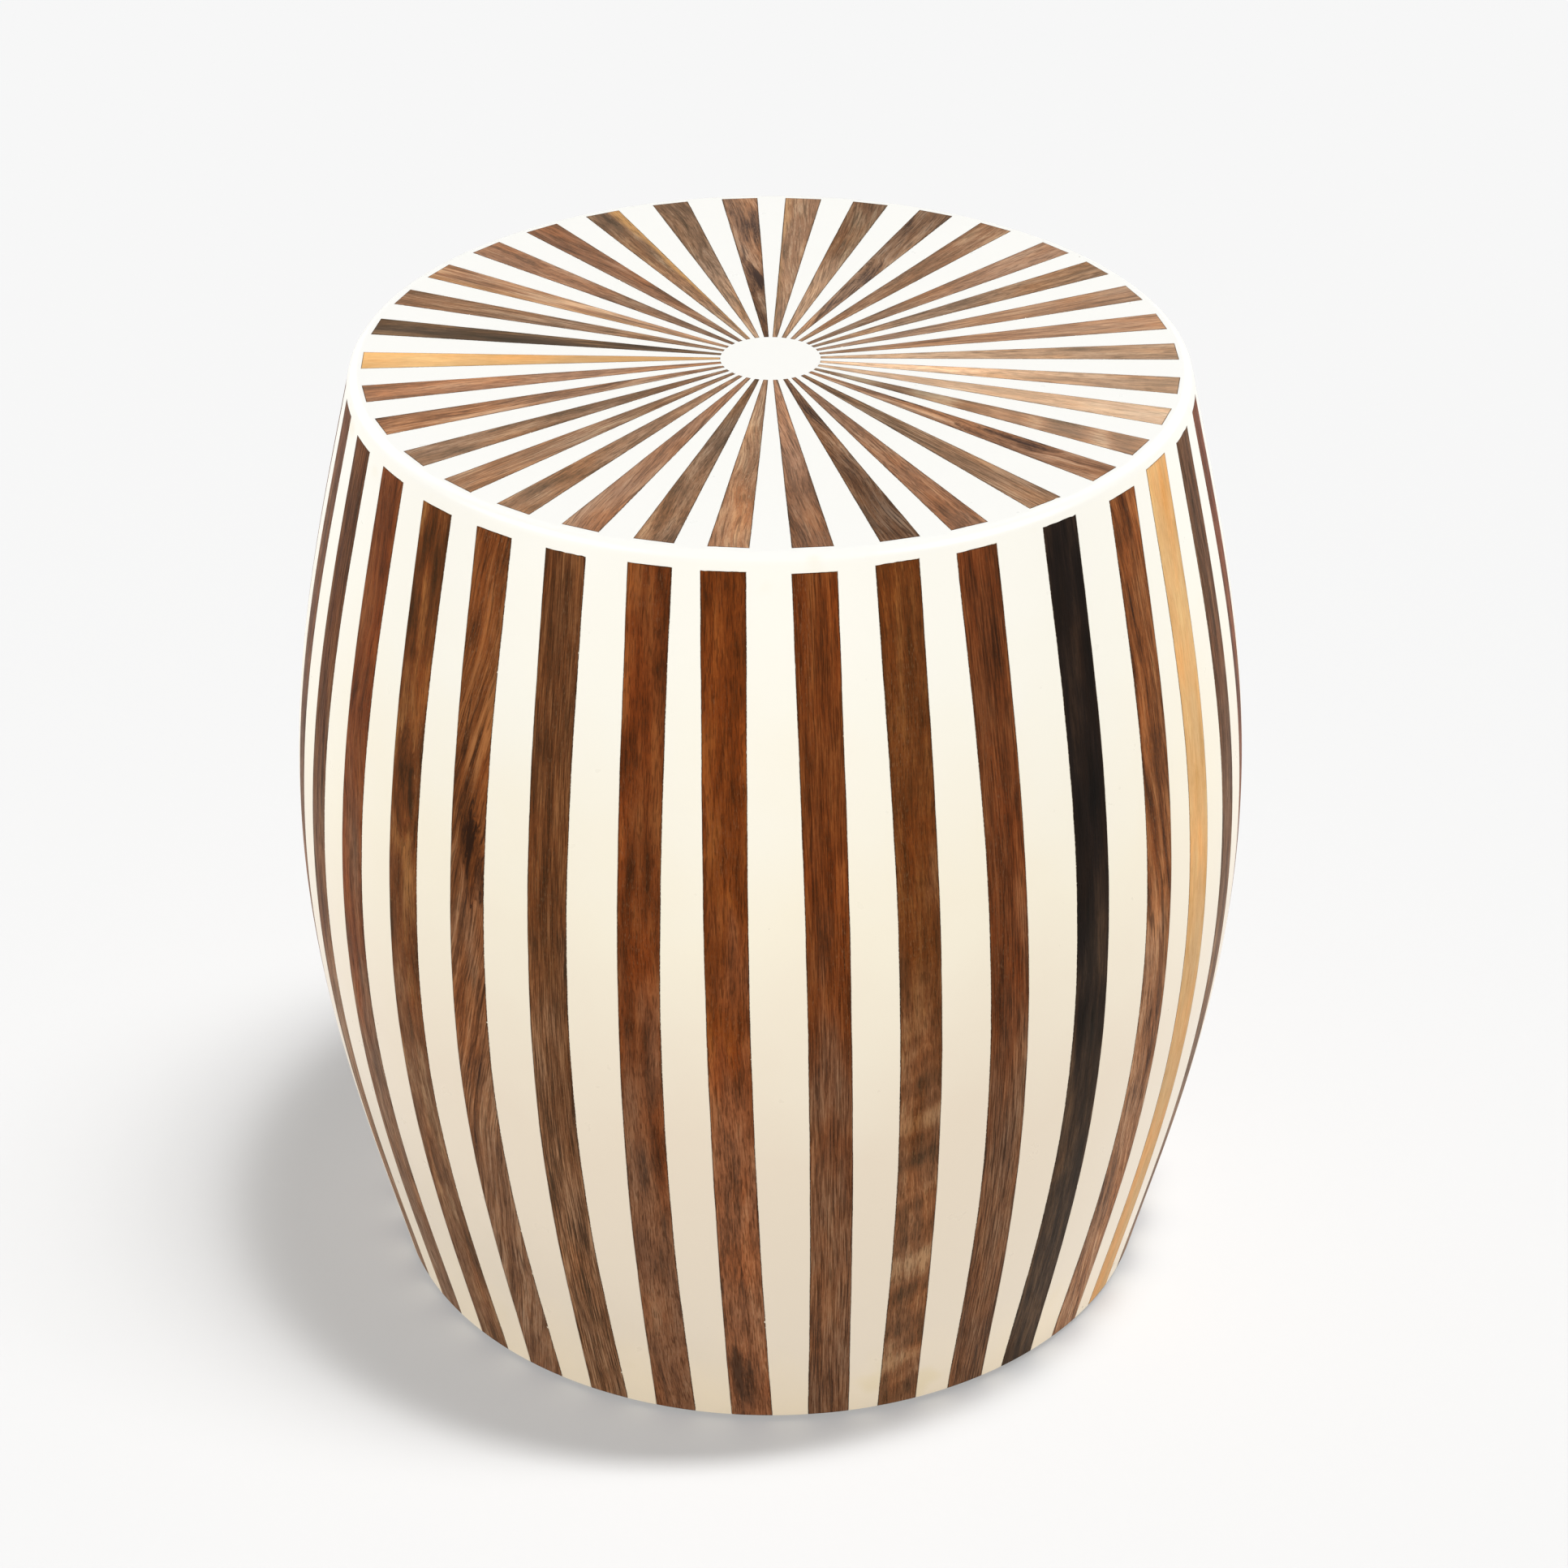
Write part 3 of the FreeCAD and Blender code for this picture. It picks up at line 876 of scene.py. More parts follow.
# The rays' large pale shares are partly paler wood and partly painted sheen of the lacquered top.
RAY_VENEERS = (
    Veneer(Wood.MAPLE, Figure.STRAIGHT, 1.2, 0.0, 0.75, 0.15),
    Veneer(Wood.SHEESHAM, Figure.STRAIGHT, 0.88, 0.42, 0.6, 0.48),
    Veneer(Wood.ROSEWOOD, Figure.WAVY, 0.86, 0.34, 0.66, 0.38),
    Veneer(Wood.WALNUT, Figure.CLOUDY, 0.76, 0.37, 0.63, 0.27),
    Veneer(Wood.TEAK, Figure.LINED, 0.86, 0.36, 0.6, 0.29),
    Veneer(Wood.WALNUT, Figure.CLOUDY, 0.79, 0.33, 0.9, 0.37),
    Veneer(Wood.SHEESHAM, Figure.SLANTED, 0.72, 0.35, 0.7, 0.35),
    Veneer(Wood.WALNUT, Figure.CLOUDY, 0.73, 0.26, 0.45, 0.23),
    Veneer(Wood.TEAK, Figure.WAVY, 1.2, 0.29, 0.85, 0.33),
    Veneer(Wood.SHEESHAM, Figure.SLANTED, 0.6, 0.25, 0.95, 0.44),
    Veneer(Wood.ROSEWOOD, Figure.WAVY, 0.4, 0.13, 0.55, 0.25),
    Veneer(Wood.SHEESHAM, Figure.STRAIGHT, 0.7, 0.27, 0.55, 0.29),
    Veneer(Wood.WALNUT, Figure.LINED, 0.76, 0.32, 0.45, 0.24),
    Veneer(Wood.ROSEWOOD, Figure.WAVY, 1.0, 0.28, 0.75, 0.38, knot=Knot(56, -1, 8)),
    Veneer(Wood.TEAK, Figure.CURLY, 0.9, 0.54, 0.3, 0.28),
    Veneer(Wood.TEAK, Figure.STRAIGHT, 0.35, 0.98, 0.32, 0.94),
    Veneer(Wood.WALNUT, Figure.STRAIGHT, 0.7, 0.72, 0.5, 1.4),
    Veneer(Wood.WALNUT, Figure.STRAIGHT, 0.6, 0.6, 0.4, 0.85),
    Veneer(Wood.SHEESHAM, Figure.LINED, 0.65, 0.54, 0.4, 0.4),
    Veneer(Wood.SHEESHAM, Figure.LINED, 0.5, 0.5, 0.45, 0.53),
    Veneer(Wood.WALNUT, Figure.STRAIGHT, 0.62, 0.37, 0.5, 0.44),
    Veneer(Wood.SHEESHAM, Figure.STRAIGHT, 0.65, 0.48, 0.28, 0.31),
    Veneer(Wood.TEAK, Figure.STRAIGHT, 0.92, 0.29, 0.7, 0.32),
    Veneer(Wood.ROSEWOOD, Figure.SLANTED, 0.4, 0.25, 0.5, 0.48, knot=Knot(74, 0, 6)),
    Veneer(Wood.TEAK, Figure.SLANTED, 0.52, 0.19, 0.58, 0.63),
    Veneer(Wood.TEAK, Figure.SLANTED, 0.88, 0.33, 0.75, 0.43, sap=0.3),
    Veneer(Wood.ROSEWOOD, Figure.SLANTED, 0.85, 0.35, 0.38, 0.2, knot=Knot(96, 1, 7)),
    Veneer(Wood.WALNUT, Figure.WAVY, 0.55, 0.26, 0.66, 0.52),
    Veneer(Wood.TEAK, Figure.STRAIGHT, 0.42, 0.27, 0.62, 0.4, sap=-0.8),
    Veneer(Wood.SHEESHAM, Figure.SLANTED, 0.78, 0.27, 0.48, 0.36),
    Veneer(Wood.SHEESHAM, Figure.STRAIGHT, 0.75, 0.37, 0.34, 0.31),
    Veneer(Wood.TEAK, Figure.STRIPED, 1.25, 0.34, 1.0, 0.58, sap=0.25),
    Veneer(Wood.WALNUT, Figure.LINED, 0.92, 0.25, 0.66, 0.36),
    Veneer(Wood.EBONY, Figure.STRAIGHT, 1.7, 0.15, 1.3, 0.13),
)


@dataclass(frozen=True)
class PieceSize:
    """What the painter needs to know of a piece, in millimetres."""

    half: float
    taper: float
    length: float
    far_start: float
    far_end: float
    patch: float


@dataclass(frozen=True)
class Waves:
    """Noise drawn out along a piece: waves per millimetre across and along, its draw and its octaves."""

    across: float
    along: float
    draw: float
    octaves: float


class Layer(Enum):
    """The noises that every grain is made of."""

    SWAY = Waves(0.02, 0.011, 0.0, 1.0)
    CLOUD = Waves(0.08, 0.022, 51.0, 2.0)
    DRIFT = Waves(0.06, 0.012, 5.0, 2.0)
    WARMTH = Waves(0.07, 0.017, 107.0, 2.0)
    WISP = Waves(0.28, 0.012, 43.0, 2.0)
    STREAK = Waves(0.24, 0.014, 11.0, 3.0)
    FLECK = Waves(2.2, 0.34, 37.0, 2.0)
    VEIN = Waves(0.12, 0.004, 61.0, 1.0)


class Grain:
    """The grain of one piece, read off its own lay map, in millimetres."""

    def __init__(self, sheet: NodeSheet, veneer: Veneer, seed: float, size: PieceSize) -> None:
        """Draw every layer of the grain.

        Args:
            sheet: The material's nodes.
            veneer: The wood as it was picked.
            seed: Which part of the tree it was cut from.
            size: The piece's size.
        """
        shape: GrainShape = veneer.figure.value
        lay = sheet.node("ShaderNodeUVMap", {"uv_map": LAY_MAP}).outputs[0]
        parts = sheet.node("ShaderNodeSeparateXYZ", None, {0: lay})
        self.sheet = sheet
        self.seed = seed
        self.side = sheet.signal(parts, "X")
        self.along = sheet.signal(parts, "Y") * (1 / MM)
        self.width = self.along * size.taper + size.half
        self.across = self.side * self.width
        self.sway = self._layer(self.across, Layer.SWAY.value)
        self.cloud = self._layer(self.across, Layer.CLOUD.value)
        self.drift = self._layer(self.across, Layer.DRIFT.value)
        self.warmth = self._layer(self.across, Layer.WARMTH.value)
        # For a strip, the share of its far look toward the foot, whose paler colour is painted
        # reflection of the floor; for a ray, toward its inner end.
        self.reach = sheet.rise(self.along + self.drift * size.patch, size.far_start, size.far_end)
        self.shadow: Signal | None = None
        line = self.across + self.sway * shape.sway + self.along * shape.slant
        if veneer.knot:
            self.shadow = self._eye(veneer.knot, line)
            line = line + self.shadow * (veneer.knot.bend * veneer.knot.size)
        self.streak = self._layer(line, Layer.STREAK.value)
        self.fleck = self._layer(line, Layer.FLECK.value)
        self.vein = self._layer(line, Layer.VEIN.value)
        self.fibre = self._layer(line, Waves(shape.fine, shape.stroke, 23.0, 4.0))
        vessels = self._layer(line, Waves(1.7, shape.stroke * 1.7, 131.0, 1.0))
        self.pores = sheet.rise(vessels, 0.03, 0.13)

    def _layer(self, line: Signal, waves: Waves) -> Signal:
        """One noise, drawn out along the piece."""
        place = self.sheet.vector(line * waves.across, self.along * waves.along, self.seed + waves.draw)
        return self.sheet.noise(place, 1.0, waves.octaves, 0.6)

    def _eye(self, knot: Knot, line: Signal) -> Signal:
        """How deep in a knot's eye each point is.

        Args:
            knot: The knot.
            line: Place across the grain.

        Returns:
            From 0 outside to 1 in the eye.
        """
        off = self.across - knot.across + (self.along - knot.along) * knot.lean
        down = (self.along - knot.along) * knot.flatness + self.sway * knot.stray
        wisp = self._layer(line, Layer.WISP.value)
        spread = knot.size**2
        away = off * off + down * down + wisp * (knot.rag * spread)
        return self.sheet.rise(away, spread, spread * knot.core)

    def ripple(self) -> Signal:
        """The bars of curly wood, on the lower part of the piece.

        Returns:
            Their tone about 0.
        """
        sheet = self.sheet
        wave = sheet.vector(self.across * 0.02, self.along * 0.046 - self.across * 0.022, self.seed + 71)
        bars = sheet.rise(sheet.noise(wave, 1.0, 1.0), -0.2, 0.26) - 0.45
        return bars * sheet.rise(self.along, 300.0, 200.0)

    def inset(self, length: float) -> Signal:
        """How far from the piece's ragged edge each point is.

        Args:
            length: The piece's length.

        Returns:
            The distance.
        """
        place = self.sheet.vector(self.along * 0.9, self.across * 0.5, self.seed + 83)
        ragged = self.sheet.noise(place, 1.0, 2.0)
        edge = (1.0 - abs(self.side)) * self.width
        return edge.least(self.along.least(length - self.along)) + ragged * 0.4

    def nicks(self) -> Signal:
        """Where the edge is chipped, 0 to 1."""
        place = self.sheet.vector(self.along * 0.3, self.side, self.seed + 97)
        return self.sheet.rise(self.sheet.noise(place, 1.0, 2.0), 0.18, 0.35)


@dataclass(frozen=True)
class VeneerPainter:
    """Makes the material of each wood piece from its grain."""

    glue: Colour = srgb(34, 20, 12)
    filler: Colour = srgb(236, 226, 206)
    # Bleached wood colour, also used as painted sheen and painted reflection in the pale looks.
    bleach_and_sheen: Colour = srgb(206, 164, 127)
    sapwood: Colour = srgb(214, 164, 106)
    glow: Colour = (1.12, 0.99, 0.86)
    haze: Colour = (0.91, 0.96, 1.03)
    polish: float = 0.03
    streaks: float = 1.5
    strokes: float = 1.5
    flecks: float = 0.6
    bars: float = 0.62
    cracks: float = 0.85
    glue_line: float = 0.75
    chip_depth: float = 0.9
    relief: float = 0.05 * MM

    def _palette(self, wood: WoodFinish, tint: Tint) -> tuple[Colour, Colour, Colour]:
        """A wood's colours in one look.

        Args:
            wood: The wood.
            tint: The look.

        Returns:
            The dark, the body and the light colour.
        """
        body = tuple(tint.own * c + tint.pale * b for c, b in zip(wood.body, self.bleach_and_sheen))
        depth = max(0.35, 1 - 0.8 * tint.pale)
        dark, light = (
            tuple(b * (c / o) ** depth for b, c, o in zip(body, colour, wood.body))
            for colour in (wood.dark, wood.light)
        )
        return dark, body, light

    def _tone(self, grain: Grain, veneer: Veneer) -> Signal:
        """How light the wood is.

        Args:
            grain: The piece's grain.
            veneer: The wood as it was picked.

        Returns:
            From 0 where it is dark to 1 where it is light.
        """
        wood: WoodFinish = veneer.wood.value
        shape: GrainShape = veneer.figure.value
        strokes = self.strokes * shape.lines * wood.fibre
        tone = grain.streak * (self.streaks * shape.stripes * wood.streak) + 0.5
        tone = tone + grain.fibre * strokes * (grain.reach * 0.45 + 0.55)
        tone = tone + grain.fleck * (self.flecks * wood.fibre)
        tone = tone + grain.cloud * shape.cloud * (1.45 - grain.reach * 0.65)
        if grain.shadow is not None:
            tone = tone - grain.shadow * (grain.fibre * 0.8 + 0.28)
        if shape.curl:
            tone = tone + grain.ripple() * (self.bars * shape.curl)
        return tone

    def _look(self, sheet: NodeSheet, tone: Signal, tint: tuple[Colour, ...]) -> bpy.types.NodeSocket:
        """A look's colour where the wood has a tone.

        Args:
            sheet: The material's nodes.
            tone: From 0 where the wood is dark to 1 where it is light.
            tint: The look's dark, body and light colour.

        Returns:
            The colour.
        """
        stops = list(zip((0.08, 0.5, 0.92), tint))
        return sheet.node("ShaderNodeValToRGB", {"stops": stops}, {0: tone}).outputs[0]

    def _age(self, grain: Grain, sap: float, colour: bpy.types.NodeSocket) -> bpy.types.NodeSocket:
        """Warm and cool the wood in patches, and add its sapwood.

        Args:
            grain: The piece's grain.
            sap: How strong the sapwood is, with the sign of its side.
            colour: The wood so far.

        Returns:
            The wood's colour.
        """
        sheet = grain.sheet
        colour = sheet.blend(sheet.rise(grain.warmth, -0.02, 0.2), colour, self.glow, "MULTIPLY")
        colour = sheet.blend(sheet.rise(grain.warmth, 0.02, -0.2), colour, self.haze, "MULTIPLY")
        if sap:
            toward = grain.side * math.copysign(1.0, sap) + grain.sway * 1.2 + grain.streak * 0.8
            colour = sheet.blend(sheet.rise(toward, 0.35, 0.8) * abs(sap), colour, self.sapwood)
        return colour

    def _mark(self, grain: Grain, veneer: Veneer, colour: bpy.types.NodeSocket) -> bpy.types.NodeSocket:
        """Add the cracks, the pores and the pale flecks.

        Args:
            grain: The piece's grain.
            veneer: The wood as it was picked.
            colour: The wood so far.

        Returns:
            The wood's colour.
        """
        sheet = grain.sheet
        wood: WoodFinish = veneer.wood.value
        dark = self._palette(wood, veneer.near)[0]
        crack = sheet.rise(abs(grain.vein), 0.022, 0.004) * sheet.rise(grain.cloud, -0.02, 0.1)
        colour = sheet.blend(crack * (self.cracks * veneer.figure.value.vein), colour, dark)
        colour = sheet.blend(grain.pores * wood.pore, colour, tuple(0.7 * c for c in dark))
        patch = sheet.rise(grain.drift, -0.05, 0.1)
        glint = sheet.rise(grain.fleck, -0.02, -0.24) * (patch * 0.28 + 0.08) * wood.glint
        if grain.shadow is not None:
            glint = glint * (1.0 - grain.shadow)
        return sheet.blend(glint, colour, self._palette(wood, veneer.near.paler(0.09))[2])

    def paint(self, name: str, veneer: Veneer, seed: float, size: PieceSize) -> bpy.types.Material:
        """Make one piece's wood.

        Args:
            name: The material's name.
            veneer: The wood as it was picked.
            seed: Which part of the tree it was cut from.
            size: The piece's size.

        Returns:
            The material.
        """
        material, sheet = new_material(name)
        grain = Grain(sheet, veneer, seed, size)
        tone = self._tone(grain, veneer)
        near, far = (
            self._look(sheet, tone, self._palette(veneer.wood.value, tint))
            for tint in (veneer.near, veneer.far)
        )
        # Near look to far look: on the strips the paler far look is painted reflection of the floor.
        colour = self._age(grain, veneer.sap, sheet.blend(grain.reach, near, far))
        colour = self._mark(grain, veneer, colour)
        inset = grain.inset(size.length)
        colour = sheet.blend(sheet.rise(inset, 0.5, 0.12) * self.glue_line, colour, self.glue)
        chipped = sheet.rise(inset - grain.nicks() * self.chip_depth, 0.1, -0.1)
        inputs = {
            "Base Color": sheet.blend(chipped, colour, self.filler),
            "Roughness": 0.42 - grain.fibre * 0.2 + grain.pores * 0.1,
            "IOR": 1.48,
            "Specular IOR Level": self.polish,
        }
        sheet.surface(inputs, grain.fibre * 0.5 - grain.pores, self.relief)
        return material


@dataclass
class Inlay:
    """Wood pieces let into the coat, all bent from one flat sheet."""

    plan: InlayPlan
    painter: VeneerPainter
    columns: int = 10
    rows: int = 80
    joint: float = 0.05 * MM
    depth: float = 3.2 * MM
    ease: float = 0.1 * MM

    def _wrap(self, piece: bpy.types.Object, line: int, across: np.ndarray, share: np.ndarray) -> None:
        """Lay a flat piece onto the table.

        Args:
            piece: The piece.
            line: Its line.
            across: Each vertex's place across, -1 to 1.
            share: Each vertex's place along, 0 to 1.
        """
        raise NotImplementedError

    def _paint(self, line: int) -> bpy.types.Material:
        """The wood of a line's piece."""
        raise NotImplementedError

    def _cut(self, kind: str) -> list[bpy.types.Object]:
        """Model one sheet, copy it to every line, then wrap, thicken and paint each copy.

        Args:
            kind: What the pieces' names start with.

        Returns:
            The pieces.
        """
        blank = Bench.grid(f"{kind}_blank", self.columns, self.rows)
        corners = Bench.corners(blank)
        pieces = []
        for line in range(self.plan.lines):
            piece = Bench.copy(blank, f"{kind}_{line + 1:02d}")
            self._wrap(piece, line, corners[:, 0] * 2 - 1, corners[:, 1])
            Bench.thicken(piece, self.depth, self.ease)
            piece.data.materials.append(self._paint(line))
            pieces.append(piece)
        bpy.data.objects.remove(blank)
        return pieces


@dataclass
class SideStrips(Inlay):
    """The wood strips let into the barrel's side."""

    seed_step: float = 3.7
    # Where the strips turn to their far look, paler toward the foot as painted reflection of the floor.
    far_start: float = 310.0
    far_end: float = 120.0
    patch: float = 420.0

    def build(self) -> list[bpy.types.Object]:
        """Cut every strip and seat it.

        Returns:
            The strips.
        """
        pieces = self._cut("strip")
        for line, piece in enumerate(pieces):
            seat(piece, STRIP_VENEERS[line].wood.value.slot, f"side_strip_{line + 1:02d}")
        return pieces

    def _wrap(self, piece: bpy.types.Object, line: int, across: np.ndarray, share: np.ndarray) -> None:
        """Lay a flat strip onto the barrel, its foot at share 0.

        Args:
            piece: The strip.
            line: Its line.
            across: Each vertex's place across, -1 to 1.
            share: Each vertex's place along, 0 to 1.
        """
        plan = self.plan
        inner = across * (1 - 2 * self.joint / plan.strip_width)
        height = plan.strip_height(line, inner, share)
        turn = plan.strip_turn(line, inner, height)
        Bench.place(piece, around(turn, plan.barrel.radius(height), height))
        Bench.lay(piece, across, height - plan.barrel.base_z)
        Bench.close(piece, STRIP_MERGE)

    def _paint(self, line: int) -> bpy.types.Material:
        """The wood of a strip.

        Args:
            line: Its line.

        Returns:
            The material.
        """
        size = PieceSize(
            half=self.plan.strip_width / 2 / MM,
            taper=0.0,
            length=(self.plan.head(line) - self.plan.barrel.base_z) / MM,
            far_start=self.far_start,
            far_end=self.far_end,
            patch=self.patch,
        )
        name = f"strip_wood_{line + 1:02d}"
        return self.painter.paint(name, STRIP_VENEERS[line], self.seed_step * line, size)


@dataclass
class TopRays(Inlay):
    """The wood rays let into the flat top, one piece for each wood."""

    columns: int = 6
    rows: int = 40
    seed: float = 211
    seed_step: float = 4.3
    far_start: float = 40.0
    far_end: float = 120.0
    patch: float = 120.0

    def build(self) -> list[bpy.types.Object]:
        """Cut every ray, and join the rays of each wood.

        Returns:
            One piece per wood.
        """
        groups: dict[Wood, list[bpy.types.Object]] = {}
        for veneer, ray in zip(RAY_VENEERS, self._cut("ray")):
            groups.setdefault(veneer.wood, []).append(ray)
        return [self._join(wood, rays) for wood, rays in groups.items()]

    def _wrap(self, piece: bpy.types.Object, line: int, across: np.ndarray, share: np.ndarray) -> None:
        """Lay a flat ray onto the top, its outer end at share 0.

        Args:
            piece: The ray.
            line: Its line.
            across: Each vertex's place across, -1 to 1.
            share: Each vertex's place along, 0 to 1.
        """
        plan = self.plan
        inner = across * (1 - self.joint / (plan.ray_reach * plan.ray_slope))
        turn, radius = plan.ray_polar(line, inner, share)
        Bench.place(piece, around(turn, radius, plan.barrel.top_z))
        Bench.lay(piece, across, share * (plan.ray_reach - plan.hub_radius))
        Bench.close(piece, STRIP_MERGE)
        Bench.face_up(piece)

    def _paint(self, line: int) -> bpy.types.Material:
        """The wood of a ray.

        Args:
            line: Its line.

        Returns:
            The material.
        """
        plan = self.plan
        size = PieceSize(
            half=plan.ray_reach / MM * plan.ray_slope,
            taper=-plan.ray_slope,
            length=(plan.ray_reach - plan.hub_radius) / MM,
            far_start=self.far_start,
            far_end=self.far_end,
            patch=self.patch,
        )
        seed = self.seed + self.seed_step * line
        return self.painter.paint(f"ray_wood_{line + 1:02d}", RAY_VENEERS[line], seed, size)

    @staticmethod
    def _join(wood: Wood, rays: list[bpy.types.Object]) -> bpy.types.Object:
        """Join the rays of one wood into one piece.

        Args:
            wood: The wood.
            rays: Its rays.

        Returns:
            The piece.
        """
        Bench.hold(rays[0])
        for ray in rays[1:]:
            ray.select_set(True)
        if len(rays) > 1:
            bpy.ops.object.join()
        piece = rays[0]
        kind = wood.name.lower()
        piece.name = f"rays_{kind}"
        piece.data.name = piece.name
        seat(piece, wood.value.slot, f"top_rays_{kind}")
        return piece


@dataclass(frozen=True)
class IvoryFinish:
    """The poured ivory resin of the coat."""

    slot: str = "ivory_coat"
    # Colours up the side: yellower toward the foot and darkest in the low band, partly the resin's own
    # yellowing and partly painted shade and warm floor bounce.
    foot: Colour = srgb(249, 231, 202)
    low: Colour = srgb(239, 224, 202)
    middle: Colour = srgb(247, 238, 217)
    upper: Colour = srgb(248, 244, 231)
    brow: Colour = srgb(249, 246, 236)
    top: Colour = srgb(245, 244, 239)
    stain: Colour = srgb(232, 212, 164)
    speck: Colour = srgb(120, 84, 50)
    levels: tuple[float, ...] = (0.0, 0.13, 0.38, 0.64, 0.85, 0.99, 1.0)
    table_height: float = 457.5
    stain_share: float = 0.45
    speck_share: float = 0.7
    roughness: float = 0.3
    relief: float = 0.03 * MM

    def paint(self) -> bpy.types.Material:
        """Make the resin's material.

        Returns:
            The material.
        """
        material, sheet = new_material("ivory_resin")
        place = sheet.node("ShaderNodeTexCoord").outputs["Object"]
        height = sheet.signal(sheet.node("ShaderNodeSeparateXYZ", None, {0: place}), "Z") * (1 / MM)
        cloud = sheet.noise(place, 14.0, 3.0)
        # The ramp by height carries painted shade and warm bounce toward the foot as well as the resin's
        # yellowing.
        tints = (self.foot, self.low, self.low, self.middle, self.upper, self.brow, self.top)
        level = height * (1 / self.table_height) + cloud * 0.24 * sheet.rise(height, 450.0, 420.0)
        stops = {"stops": list(zip(self.levels, tints))}
        colour = sheet.node("ShaderNodeValToRGB", stops, {0: level}).outputs[0]
        rim = sheet.rise(height, 438.0, 450.0) * sheet.rise(height, 457.2, 455.0)
        ends = sheet.rise(height, 60.0, 5.0).most(rim)
        blotch = sheet.rise(sheet.noise(place, 31.0, 2.0), 0.08, 0.26)
        colour = sheet.blend(blotch * ends * self.stain_share, colour, self.stain)
        cells = sheet.node("ShaderNodeTexVoronoi", None, {"Vector": place, "Scale": 34.0})
        pick = sheet.node("ShaderNodeSeparateColor", None, {0: cells.outputs["Color"]})
        chosen = sheet.rise(sheet.signal(pick, "Red"), 0.93, 0.94)
        dot = sheet.rise(sheet.signal(cells, "Distance"), 0.015, 0.008) * chosen
        colour = sheet.blend(dot * self.speck_share, colour, self.speck)
        sanding = sheet.noise(place, 90.0, 3.0)
        inputs = {"Base Color": colour, "Roughness": self.roughness + 0.12 * sanding, "IOR": 1.5}
        sheet.surface(inputs, sanding, self.relief)
        return material


